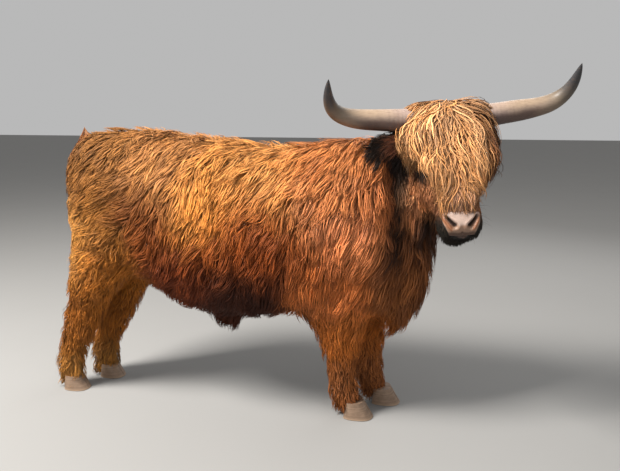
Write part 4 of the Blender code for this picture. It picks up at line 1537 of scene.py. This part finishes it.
@dataclass
class Coat:
    """The hair of body, legs, head and ears, in one piece for each stretch of the body."""

    stance: Stance
    skin: Skin
    markings: Markings
    finish: Material
    dark_finish: Material
    seed: int = 11
    short_steps: int = 3  # of the locks where the hair is short
    face_clump: float = 0.30
    under_fringe: float = 0.35  # share of the hair under the fringe
    draft_share: float = 0.45  # of the locks, while trying things

    def build(self) -> list[Item]:
        """Grows the locks and splits them into pieces."""
        ground = Ground(self.skin.item)
        owner = self.skin.flesh.part_of(ground.points)
        density = self._density(ground)
        halves = {
            "rump": (Part.RUMP,),
            "hind_leg": (Part.THIGH, Part.HIND_SHANK),
            "barrel": (Part.BARREL,),
            "shoulder": (Part.SHOULDERS,),
            "fore_leg": (Part.FOREARM, Part.FORE_SHANK),
        }
        whole = {
            "tail": (Part.TAIL,),
            "neck": (Part.NECK,),
            "brisket": (Part.BRISKET, Part.SHEATH),
            "head": (Part.HEAD,),
            "ears": (Part.EAR,),
        }
        groups = [(f"{name}_{side.word}", halves[name], side.value) for name in halves for side in Side]
        groups += [(name, parts, 0) for name, parts in whole.items()]
        aside = self.stance.to_body(ground.points)[:, 1]
        made = []
        for number, (name, parts, hand) in enumerate(groups):
            here = np.isin(owner, [part.number for part in parts]) & (aside * hand >= 0)
            locks = Locks(ground, self.skin.growth, self.seed + number)
            if not name.startswith(("barrel", "shoulder", "neck", "brisket", "tail", "fore")):
                locks.steps = self.short_steps
            if name in ("head", "ears"):
                locks.clump = self.face_clump
            locks.grow(density * here)
            finish = self.dark_finish if name == "ears" else self.finish
            piece = locks.build(f"coat_{name}", self.markings.colours(locks.root), finish, self.seed)
            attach(piece, BODY)
            "dark_hair" if name == "ears" else "coat"
            made.append(piece)
        return made

    def _density(self, ground: Ground) -> Array:
        """Roots for each square metre, at every vertex of the skin."""
        density = 1 / self.skin.growth.spacing**2
        pad = np.empty(len(ground.points), np.float32)
        self.skin.item.data.attributes["pad"].data.foreach_get("value", pad)
        density = density * eased(pad, 0.45, 0.15)
        density *= eased(self.stance.eye_gap(ground.points), 0.0235, 0.0260)
        along, aside, out = self.stance.to_face(ground.points).T
        covered = (along > -0.06) & (along < 0.24) & (out > -0.05) & (np.abs(aside) < 0.12)
        density *= np.where(covered, self.under_fringe, 1.0)
        return density * 1.0


@dataclass
class Fringe:
    """The long wavy hair that parts on the poll and hangs over the face."""

    stance: Stance
    flesh: FleshMap
    node: Item
    finish: Material
    seed: int = 77
    depth: float = 0.028
    boss_aside: float = 0.112  # the swelling under each horn's root
    boss_radius: float = 0.068
    voxel: float = 0.009
    parting: Sequence[Triple] = ((-0.10, 0.0, 0.02), (-0.03, 0.005, 0.09))
    lower_whorl: Triple = (0.33, 0.0, 0.06)
    curl: Triple = (0.325, -0.085, 0.03)  # the loose curl over the right cheek
    hem: Sequence[tuple[float, float]] = (
        (-0.20, 0.09),
        (-0.17, 0.155),
        (-0.125, 0.225),
        (-0.09, 0.28),
        (-0.065, 0.335),
        (-0.045, 0.46),
        (0.045, 0.46),
        (0.075, 0.40),
        (0.11, 0.34),
        (0.15, 0.27),
        (0.19, 0.20),
    )
    gold: Colour = shade(220, 164, 110)
    blond: Colour = shade(250, 202, 152)
    brown: Colour = shade(116, 76, 47)
    bridge: Colour = shade(230, 184, 156)
    shadow: Colour = shade(96, 60, 38)
    # painted shadow in the dark gap between the fringe's hem and the cheek, over the eyes
    black: Colour = shade(44, 34, 28)
    over_outline: float = 0.012  # how far locks may stand over the mop's outline
    spacing: float = 0.0100
    width: float = 0.0070
    wave: float = 0.17
    curliness: float = 0.015
    # painted shadow: how far the hair under the outer locks, and the core, are darkened
    under_dark: float = 0.6  # how dark the hair is under the outer locks
    draft_share: float = 0.5
    room: Array = field(init=False)  # how high the hair may stand over the core, at every vertex

    def build(self) -> list[Item]:
        """Makes the core, an under layer and the long locks over it."""
        core, cut = self._core()
        ground = Ground(core)
        face = self.stance.to_face(ground.points)
        foot, out = self._on_skull(ground.points)
        # No hair grows on the inner wall, round the eyes or past the hem.
        inside = eased((ground.normals * out).sum(1), -0.45, -0.80)
        gap = np.linalg.norm(ground.points - foot, axis=1)
        hidden = inside * eased(gap, 0.045, 0.030) * eased(face[:, 0], -0.05, 0.0)
        rise = self._edge(face[:, 1]) - face[:, 0]
        bare = eased(rise, 0.055, 0.02) * eased(np.abs(face[:, 1]), 0.04, 0.06)
        pocket = eased(self.stance.eye_gap(ground.points), 0.080, 0.055)
        low = np.maximum(np.maximum(hidden, pocket), eased(cut, 0.93, 0.99))
        # Round the eyes and past the hem the core sinks towards the middle of the head.
        deep = self.stance.on_face(face * (1.0, 0.3, 0.0) - (0.0, 0.0, 0.10))
        sunk = np.maximum(eased(cut, 0.9, 1.0), pocket)
        move_to(core.data, Softener(core.data).rounds(mixed(ground.points, deep, sunk), 2, sunk))
        short = self._growth(face, depth=0.020, beyond=0.04)
        long = self._growth(face, depth=0.036, beyond=0.01)
        under = Locks(ground, short, self.seed, steps=5, clump_size=16, clump=0.6, low=0.25, high=0.75)
        over = Locks(ground, long, self.seed + 1, steps=11, clump_size=18, clump=0.90, low=0.45, high=1.15)
        share = 1.0
        made = [core]
        for name, locks, gone, dark in (
            ("fringe_under", under, low, self.under_dark),
            ("fringe_over", over, np.maximum(low, bare), 0.0),
        ):
            locks.grow((1 - gone) * share / self.spacing**2)
            made.append(locks.build(name, self._colours(locks.root, dark), self.finish, self.seed))
        for piece in made:
            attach(piece, BODY)
            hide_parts("fringe")
        return made

    def _edge(self, aside: Array) -> Array:
        """How far down the face the mop reaches, at every distance to the side."""
        return np.interp(aside, *np.array(self.hem).T)

    def _core(self) -> tuple[Item, Array]:
        """The mop's inside, set in from the outline, which fills the gaps between locks."""
        shape = bmesh.new()
        shape.from_mesh(self.node.data)
        bmesh.ops.remove_doubles(shape, verts=shape.verts, dist=1e-5)
        for side in Side:
            place = Vector(self.stance.on_crown((0.004, side.value * self.boss_aside, 0.014)))
            spot = Matrix.Translation(place)
            bmesh.ops.create_icosphere(shape, subdivisions=3, radius=self.boss_radius, matrix=spot)
        item = new_object("fringe_core", mesh_of(shape, "fringe_core"))
        remesh = item.modifiers.new("even faces", "REMESH")
        remesh.mode, remesh.voxel_size = "VOXEL", self.voxel
        settle(item)
        soft = Softener(item.data)
        points = soft.rounds(places(item.data), 3)
        move_to(item.data, points)
        inward = unit(soft.rounds(normals(item.data), 4))
        along = self.stance.to_face(points)[:, 0]
        set_in = self.depth * (1 - 0.75 * eased(along, 0.12, 0.42))
        set_in = set_in * (1 - 0.4 * eased(along, 0.06, -0.06))
        set_in = soft.rounds(np.minimum(set_in, half_thickness(item.data) * 0.55), 3)
        self.room = set_in + self.over_outline
        points = soft.rounds(points - inward * set_in[:, None], 5)
        face = self.stance.to_face(points)
        move_to(item.data, points)
        foot, out = self._on_skull(points)
        inner = (normals(item.data) * out).sum(1) < 0
        cut = eased(face[:, 0] - self._edge(face[:, 1]) + 0.05 * inner, -0.045, -0.015)
        buried = foot - out * (0.014 + 0.018 * inner)[:, None]
        move_to(item.data, soft.rounds(mixed(points, buried, cut), 2))
        item.data.uv_layers.new(name=BAKE_MAP)
        lay_flat(item)
        # The core takes the under layer's colours, with their painted shadow.
        store_coat(item.data, self._colours(places(item.data), self.under_dark))
        store(item.data, "lock", np.tile((0.0, 0.3, 0.2), (len(points), 1)))
        dress(item, self.finish)
        return item, cut

    def _on_skull(self, points: Array) -> tuple[Array, Array]:
        """The nearest places on the head's flesh, and which way it faces there."""
        mesh = self.flesh.nodes["head"].data
        tree = BVHTree.FromPolygons(places(mesh).tolist(), [tuple(face.vertices) for face in mesh.polygons])
        hits = [tree.find_nearest(place) for place in points.tolist()]
        return np.array([hit[0] for hit in hits]), np.array([hit[1] for hit in hits])

    def _growth(self, face: Array, depth: float, beyond: float) -> Growth:
        """The numbers of a layer of hair at every vertex of the core.

        Args:
            face: the vertices, from the poll.
            depth: how high the locks stand.
            beyond: how far they pass the hem.

        Returns:
            The growth.
        """
        along, aside, _ = face.T
        near, t = line_distance(face, self.parting)
        start, end = np.array(self.parting)
        away = unit(face - (start + np.outer(t, end - start))) @ self.stance.face.T
        down = away * 0.6 * eased(near, 0.35, 0.05)[:, None] + (0.0, 0.0, -0.85)
        inwards = -np.sign(aside) * eased(np.abs(aside), 0.03, 0.12) * 0.45 * eased(along, 0.08, 0.24)
        down = down + inwards[:, None] * self.stance.face[:, 1]
        fan = unit(face - self.lower_whorl) @ self.stance.face.T
        low = eased(along, 0.31, 0.37)
        lie = unit(mixed(down, fan + (0.0, 0.0, -0.3), low))
        spin = face - self.curl
        close = eased(np.linalg.norm(spin, axis=1), 0.045, 0.010)[:, None]
        lie = unit(lie + np.cross(self.stance.face[:, 2], unit(spin) @ self.stance.face.T) * close * 2.0)
        length = np.clip((self._edge(aside) + beyond - along) * 1.05, 0.055, 0.27)
        thin = 1 - 0.75 * eased(along, 0.20, 0.40)
        same = np.ones(len(face))
        return Growth(
            depth=np.minimum(depth * thin, self.room),
            length=length * (1 - 0.35 * eased(along, 0.28, 0.36)),
            width=self.width * (0.5 + 0.5 * thin),
            curl=self.curliness * (1 - 0.6 * low),
            wave=same * self.wave,
            spacing=same * self.spacing,
            stray=0.14 + 0.9 * eased(near, 0.045, 0.0),
            lie=lie,
        )

    def _colours(self, roots: Array, dark: float) -> Array:
        """Gold over the brow, blond streaks, browner at the sides, partly as painted shade, painted shadow
        underneath, and painted near-black shadow at the hem over the eyes.
        """
        along, aside, _ = self.stance.to_face(roots).T
        streak = 0.5 + 0.5 * np.sin(aside * 130 + np.sin(along * 19) * 2)
        # Browner to the sides, most on the animal's left: partly the hair's own colour, partly painted shade
        # of that side.
        far = eased(aside, 0.04, 0.12) * 0.95 + eased(-aside, 0.12, 0.18) * 0.4
        # Painted near-black shadow at the hem by the eyes, on the under layer and the core.
        hem = eased(self._edge(aside) - along, 0.06, 0.02) * eased(np.abs(aside), 0.05, 0.08)
        colour = self.gold
        for other, share in (
            (self.blond, streak * eased(along, 0.30, 0.02)),
            (self.brown, np.clip(far, 0, 1)),
            (self.bridge, eased(along, 0.27, 0.34)),
            (self.shadow, dark * eased(along, -0.02, 0.10) * eased(along, 0.37, 0.27)),
            (self.black, hem * (dark > 0)),
        ):
            colour = mixed(colour, other, share)
        return colour


# ---- horns, eyes, hooves, lashes


@dataclass
class Horns:
    """Two long horns that sweep out, level, and turn up at the tips."""

    stance: Stance
    finish: Material
    bend: Sequence[Triple] = (
        (0.0, 0.095, 0.0),
        (0.033, 0.40, 0.027),
        (-0.008, 0.499, 0.011),
        (0.180, 0.481, 0.181),
    )
    stretches: int = 39
    radius: float = 0.049
    taper: float = 0.30
    rings: float = 34.0
    ring_height: float = 0.0003
    unevenness: float = 0.0012

    def build(self) -> list[Item]:
        """Makes both horns."""
        sizes = {"Radius": self.radius, "Taper": self.taper, "Rings": self.rings}
        made = []
        for side in Side:
            item = self._path(side)
            run_tree(item, self._tree(), {**sizes, "Ring height": self.ring_height})
            made.append(self._finished(item, side))
        return made

    def _path(self, side: Side) -> Item:
        """The horn's middle line, as a row of edges."""
        bend = np.array(self.bend) * (1, side.value, 1)
        t = np.linspace(0, 1, self.stretches + 1)[:, None]
        back = 1 - t
        line = bend[0] * back**3 + 3 * bend[1] * t * back**2 + 3 * bend[2] * t * t * back + bend[3] * t**3
        mesh = bpy.data.meshes.new(f"{side.word}_horn")
        spots = self.stance.on_crown(line)
        mesh.from_pydata([tuple(p) for p in spots], [(i, i + 1) for i in range(self.stretches)], [])
        return new_object(f"{side.word}_horn", mesh)

    def _tree(self) -> Tree:
        """Sweeps a ring along the line, thinner to the tip, with growth rings near the root."""
        names = ("Radius", "Taper", "Rings", "Ring height")
        tree, graph, given = new_tree("horn", dict.fromkeys(names, "Float"))
        radius, taper, rings, ring_height = (graph.out(given, name) for name in names)
        line = graph.node("GeometryNodeMeshToCurve", None, {"Mesh": given.outputs["Geometry"]})
        even = graph.node("GeometryNodeResampleCurve", None, {"Curve": line.outputs[0], "Count": 150})
        reach = graph.out(graph.node("GeometryNodeSplineParameter"), "Factor")
        kept = graph.node(
            "GeometryNodeStoreNamedAttribute",
            {"data_type": "FLOAT", "domain": "POINT"},
            {"Geometry": even.outputs[0], "Name": "reach", "Value": reach},
        )
        body = graph.math("MAXIMUM", 1 - reach**3.2, 0.004) ** 0.75
        wave = graph.math("SINE", reach * rings * 6.2832 + graph.math("SINE", reach * 40.0))
        ripple = wave * ring_height * graph.step(reach, 0.55, 0.10)
        tube = graph.tube(kept, radius * (1 - taper * reach) * body + ripple, 36)
        graph.hand_out(tube, self.finish)
        return tree

    def _finished(self, item: Item, side: Side) -> Item:
        """Closes the horn, lets it wander a little off round, and hands it to the frame."""
        shape = bmesh.new()
        shape.from_mesh(item.data)
        bmesh.ops.remove_doubles(shape, verts=shape.verts, dist=2e-5)
        bmesh.ops.recalc_face_normals(shape, faces=shape.faces)
        shape.to_mesh(item.data)
        shape.free()
        points = places(item.data)
        swell = np.sin(points @ np.array((31.0, 17.0, 23.0)))
        swell = swell * np.sin(points @ np.array((-13.0, 29.0, 11.0)) + 1.0)
        move_to(item.data, points + normals(item.data) * (swell * self.unevenness)[:, None])
        dress(item, self.finish)
        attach(item, BODY)
        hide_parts(f"horn_{side.word}")
        LOG.info("%s: %d faces", item.name, len(item.data.polygons))
        return item


@dataclass
class Eyes:
    """Two wet eyes."""

    stance: Stance
    finish: Material
    radius: float = 0.021
    cornea: float = 0.0012

    def build(self) -> list[Item]:
        """Makes both eyes."""
        made = []
        for side in Side:
            shape = bmesh.new()
            bmesh.ops.create_uvsphere(shape, u_segments=48, v_segments=32, radius=1.0)
            mesh = mesh_of(shape, f"{side.word}_eye")
            centre = self.stance.eyes[side.word]
            out, slit, across = self.stance.eye_axes(side.value)
            ball = unit(places(mesh))
            a, b, c = ball @ slit, ball @ across, ball @ out
            rim = np.hypot(a, b) / 0.90
            rim[c < 0] = 2
            bulge = self.cornea * eased(rim, 0.9, 0.3)
            move_to(mesh, centre + ball * (self.radius + bulge)[:, None])
            store(mesh, "gaze", np.column_stack([a * 1.6, b * 1.6, rim]))
            item = new_object(f"{side.word}_eye", mesh)
            dress(item, self.finish)
            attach(item, BODY)
            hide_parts(f"eye_{side.word}")
            made.append(item)
        return made


@dataclass
class Bristles:
    """Thin stiff hairs that stand on the skin: whiskers round the muzzle and lashes on the upper lids."""

    stance: Stance
    skin: Item
    finish: Material
    colour: Colour = shade(30, 25, 22)

    def build(self) -> list[Item]:
        """Makes the whiskers and both rows of lashes."""
        points = places(self.skin.data)
        along, aside, out = self.stance.to_face(points).T
        sides = (along > 0.40) & (along < 0.465) & (np.abs(aside) > 0.05) & (out > -0.16)
        chin = (along > 0.37) & (along < 0.47) & (np.abs(aside) < 0.07) & (out < -0.13) & (out > -0.22)
        head = np.linalg.norm(points - self.stance.on_face((0.40, 0.0, -0.10)), axis=1) < 0.16
        forward = self.stance.face @ np.array([0.5, 0.0, -0.2])
        whiskers = {"Density": 1500.0, "Length": 0.045, "Radius": 0.00045, "Seed": 3, "Lean": forward}
        made = [self._row("whiskers", (sides | chin) & head, whiskers)]
        for side in Side:
            out, slit, up = self.stance.eye_axes(side.value)
            away = points - self.stance.eyes[side.word]
            a, b = away @ slit / 0.0185, away @ up / 0.012
            ring = np.hypot(a, b)
            lid = (ring > 1.0) & (ring < 1.5) & (b > 0.15) & (away @ out > 0)
            lid &= np.linalg.norm(away, axis=1) < 0.05
            lashes = {"Density": 300000.0, "Length": 0.016, "Radius": 0.00035, "Seed": 4}
            made.append(self._row(f"{side.word}_lashes", lid, {**lashes, "Lean": out * 1.2 + up * 0.1}))
        return made

    def _row(self, name: str, chosen: Array, numbers: Mapping[str, Value]) -> Item:
        """One growth of bristles on the chosen vertices of the skin."""
        shape = bmesh.new()
        shape.from_mesh(self.skin.data)
        spare = [vertex for vertex, take in zip(shape.verts, chosen) if not take]
        bmesh.ops.delete(shape, geom=spare, context="VERTS")
        item = new_object(name, mesh_of(shape, name))
        run_tree(item, self._tree(), numbers)
        count = len(item.data.vertices)
        LOG.info("%s: %d vertices", name, count)
        for old in ("coat", "lock"):
            if old in item.data.attributes:
                item.data.attributes.remove(item.data.attributes[old])
        store_coat(item.data, self.colour)
        store(item.data, "lock", np.tile((0.0, 0.6, 0.5), (count, 1)))
        dress(item, self.finish)
        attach(item, BODY)
        return item

    def _tree(self) -> Tree:
        """Stands a thin bent cone on points strewn over the faces."""
        kinds = {"Density": "Float", "Length": "Float", "Radius": "Float", "Seed": "Int", "Lean": "Vector"}
        tree, graph, given = new_tree("bristles", kinds)
        length, radius = graph.out(given, "Length"), graph.out(given, "Radius")
        inputs = {"Mesh": given.outputs["Geometry"]}
        inputs |= {name: given.outputs[name] for name in ("Density", "Seed")}
        spots = graph.node("GeometryNodeDistributePointsOnFaces", None, inputs)
        middle, end = graph.joined(0.0, 0.0, length * 0.6), graph.joined(length * 0.3, 0.0, length)
        inputs = {"Resolution": 7, "Start": (0.0, 0.0, 0.0), "Middle": middle, "End": end}
        bend = graph.node("GeometryNodeCurveQuadraticBezier", None, inputs)
        reach = graph.out(graph.node("GeometryNodeSplineParameter"), "Factor")
        cone = graph.tube(bend, radius * (1 - reach * 0.9), 5)
        ends = {0: (-0.35, -0.35, -0.35), 1: (0.35, 0.35, 0.35)}
        chance = graph.node("FunctionNodeRandomValue", {"data_type": "FLOAT_VECTOR"}, ends)
        way = graph.vector("ADD", graph.out(spots, "Normal"), graph.out(given, "Lean"))
        way = graph.vector("ADD", way, graph.out(chance, 0))
        turned = graph.node("FunctionNodeAlignRotationToVector", {"axis": "Z"}, {"Vector": way})
        sizes = graph.node("FunctionNodeRandomValue", {"data_type": "FLOAT"}, {2: 0.5, 3: 1.2})
        inputs = {"Points": spots.outputs["Points"], "Instance": cone.outputs[0]}
        inputs |= {"Rotation": turned.outputs[0], "Scale": graph.out(sizes, 1)}
        graph.hand_out(graph.node("GeometryNodeInstanceOnPoints", None, inputs), self.finish)
        return tree


@dataclass
class Hooves:
    """Eight claws, two to a foot, with growth rings and a worn edge."""

    finish: Material
    rings: int = 14
    around: int = 40
    groove: float = 0.0003

    def build(self) -> list[Item]:
        """Makes all the claws."""
        feet = [f"hoof_{end}_{side.word}" for end in ("fore", "hind") for side in Side]
        return [self._claw(f"{foot}_{claw}") for foot in feet for claw in ("inner", "outer")]

    def _claw(self, name: str) -> Item:
        """One claw that fills its box: flat sole, straight inner wall, sloping toe."""
        low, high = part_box(name)
        side = 1 if "_left_" in name else -1
        outward = side if name.endswith("outer") else -side
        length, width, height = high.x - low.x, high.y - low.y, high.z
        inner = low.y if outward > 0 else high.y
        levels = np.concatenate([[0.0, 0.035], np.linspace(0.09, 1.0, self.rings)])
        points = []
        for level in levels:
            z = level * height
            edge = 0.003 * max(0.0, 1 - level / 0.035)
            toe, heel = length / 2 - 0.62 * z - edge, -length / 2 + 0.10 * z + edge
            ripple = self.groove * math.sin(level * self.rings * 4.2)
            bulge = width * (1.0 - 0.10 * level) - edge + ripple
            share = np.linspace(0, 1, self.around // 2)
            share = share - 0.04 * np.sin(2 * math.pi * share)
            curve = np.maximum(0, 1 - np.abs((2 * share - 0.86) / 1.14) ** 2.6) ** (1 / 2.2)
            x = heel + (toe - heel) * share
            y = inner + outward * np.maximum(0.004, bulge * curve)
            wall = np.column_stack([x, y, np.full(len(x), z)])
            back = np.column_stack([x[::-1], np.full(len(x), inner), np.full(len(x), z)])
            points.append(np.concatenate([wall, back]))
        points = np.array(points)
        points[:, :, 0] += (low.x + high.x) / 2
        around = points.shape[1]
        shape = bmesh.new()
        grid = [[shape.verts.new(p) for p in ring] for ring in points.tolist()]
        for lower, upper in zip(grid[:-1], grid[1:]):
            for i in range(around):
                j = (i + 1) % around
                shape.faces.new((lower[i], lower[j], upper[j], upper[i]))
        shape.faces.new(grid[0])
        shape.faces.new(grid[-1])
        bmesh.ops.triangulate(shape, faces=[f for f in shape.faces if len(f.verts) > 4])
        bmesh.ops.recalc_face_normals(shape, faces=shape.faces)
        title = name.replace("hoof", "claw")
        item = new_object(title, mesh_of(shape, title))
        dress(item, self.finish)
        item.data.set_sharp_from_angle(angle=math.radians(50))
        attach(item, BODY)
        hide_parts(name)
        LOG.info("%s: %d rings", title, len(levels))
        return item


# ---- the studio


@dataclass
class Studio:
    """Pale floor, soft lights and the camera."""

    stance: Stance
    camera_place: Triple = (0.3927, -2.914, 1.3468)  # from the body's datum
    azimuth: float = 13.3
    pitch: float = 10.46
    lens: float = 39.5
    lit_place: Triple = (-0.3, 0.0, 0.7)  # what the lamps face

    def build(self) -> None:
        """Sets everything up."""
        self._floor()
        self._camera()
        self._lamp("key", (-3.0, -2.5, 4.9), 2.0, 900.0, (1.0, 0.97, 0.93))
        self._lamp("fill", (2.4, -4.2, 2.4), 3.5, 60.0, (0.94, 0.97, 1.0))
        self._lamp("back", (1.6, 3.4, 3.2), 3.0, 60.0, (1.0, 1.0, 1.0))
        world = bpy.data.worlds.new("studio")
        world.use_nodes = True
        sky = {"Color": (0.88, 0.88, 0.88, 1.0), "Strength": 0.55}
        Graph(world.node_tree).feed(world.node_tree.nodes["Background"], sky)
        bpy.context.scene.world = world
        bpy.context.scene.view_settings.view_transform = "Standard"

    def _floor(self) -> None:
        """A wide pale floor."""
        shape = bmesh.new()
        bmesh.ops.create_grid(shape, x_segments=8, y_segments=8, size=30.0)
        item = new_object("floor", mesh_of(shape, "floor"))
        dress(item, FloorFinish().build())

    def _camera(self) -> None:
        """A camera at the side, level with the back, looking slightly down."""
        made = bpy.data.cameras.new("camera")
        made.lens, made.sensor_width = self.lens, 36.0
        item = new_object("camera", made)
        item.location = Vector(self.stance.datum + self.camera_place)
        item.rotation_euler = (math.radians(90 - self.pitch), 0, math.radians(self.azimuth))
        bpy.context.scene.camera = item

    def _lamp(self, name: str, place: Triple, size: float, power: float, colour: Colour) -> None:
        """A soft square lamp that faces the animal."""
        made = bpy.data.lights.new(name, "AREA")
        made.size, made.energy, made.color = size, power, colour
        item = new_object(name, made)
        item.location = place
        away = Vector(place) - Vector(self.lit_place)
        item.rotation_euler = away.to_track_quat("Z", "Y").to_euler()


def main() -> None:
    """Builds the animal round the frame."""
    logging.basicConfig(level=logging.INFO, format="%(message)s")
    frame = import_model()
    stance = Stance()
    flesh = FleshMap(stance, frame["nodes"])
    skin = Skin(stance, flesh)
    item = skin.build()
    markings = Markings(stance, flesh)
    store_coat(item.data, markings.colours(places(item.data)))
    dress(item, SkinFinish().build())
    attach(item, BODY)
    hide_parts(*flesh.owners)
    LOG.info("skin: %d faces", len(item.data.polygons))
    dark = HairFinish("dark_hair").build()
    Coat(stance, skin, markings, HairFinish("coat").build(), dark).build()
    Bristles(stance, item, dark).build()
    fringe = HairFinish("fringe", gloss=0.25, tone_spread=1.0, root_shade=0.62, tip_shade=1.0)
    Fringe(stance, flesh, frame["nodes"]["fringe"], fringe.build()).build()
    Horns(stance, HornFinish().build()).build()
    Eyes(stance, EyeFinish().build()).build()
    Hooves(HoofFinish().build()).build()
    Studio(stance).build()


if __name__ == "__main__":
    main()
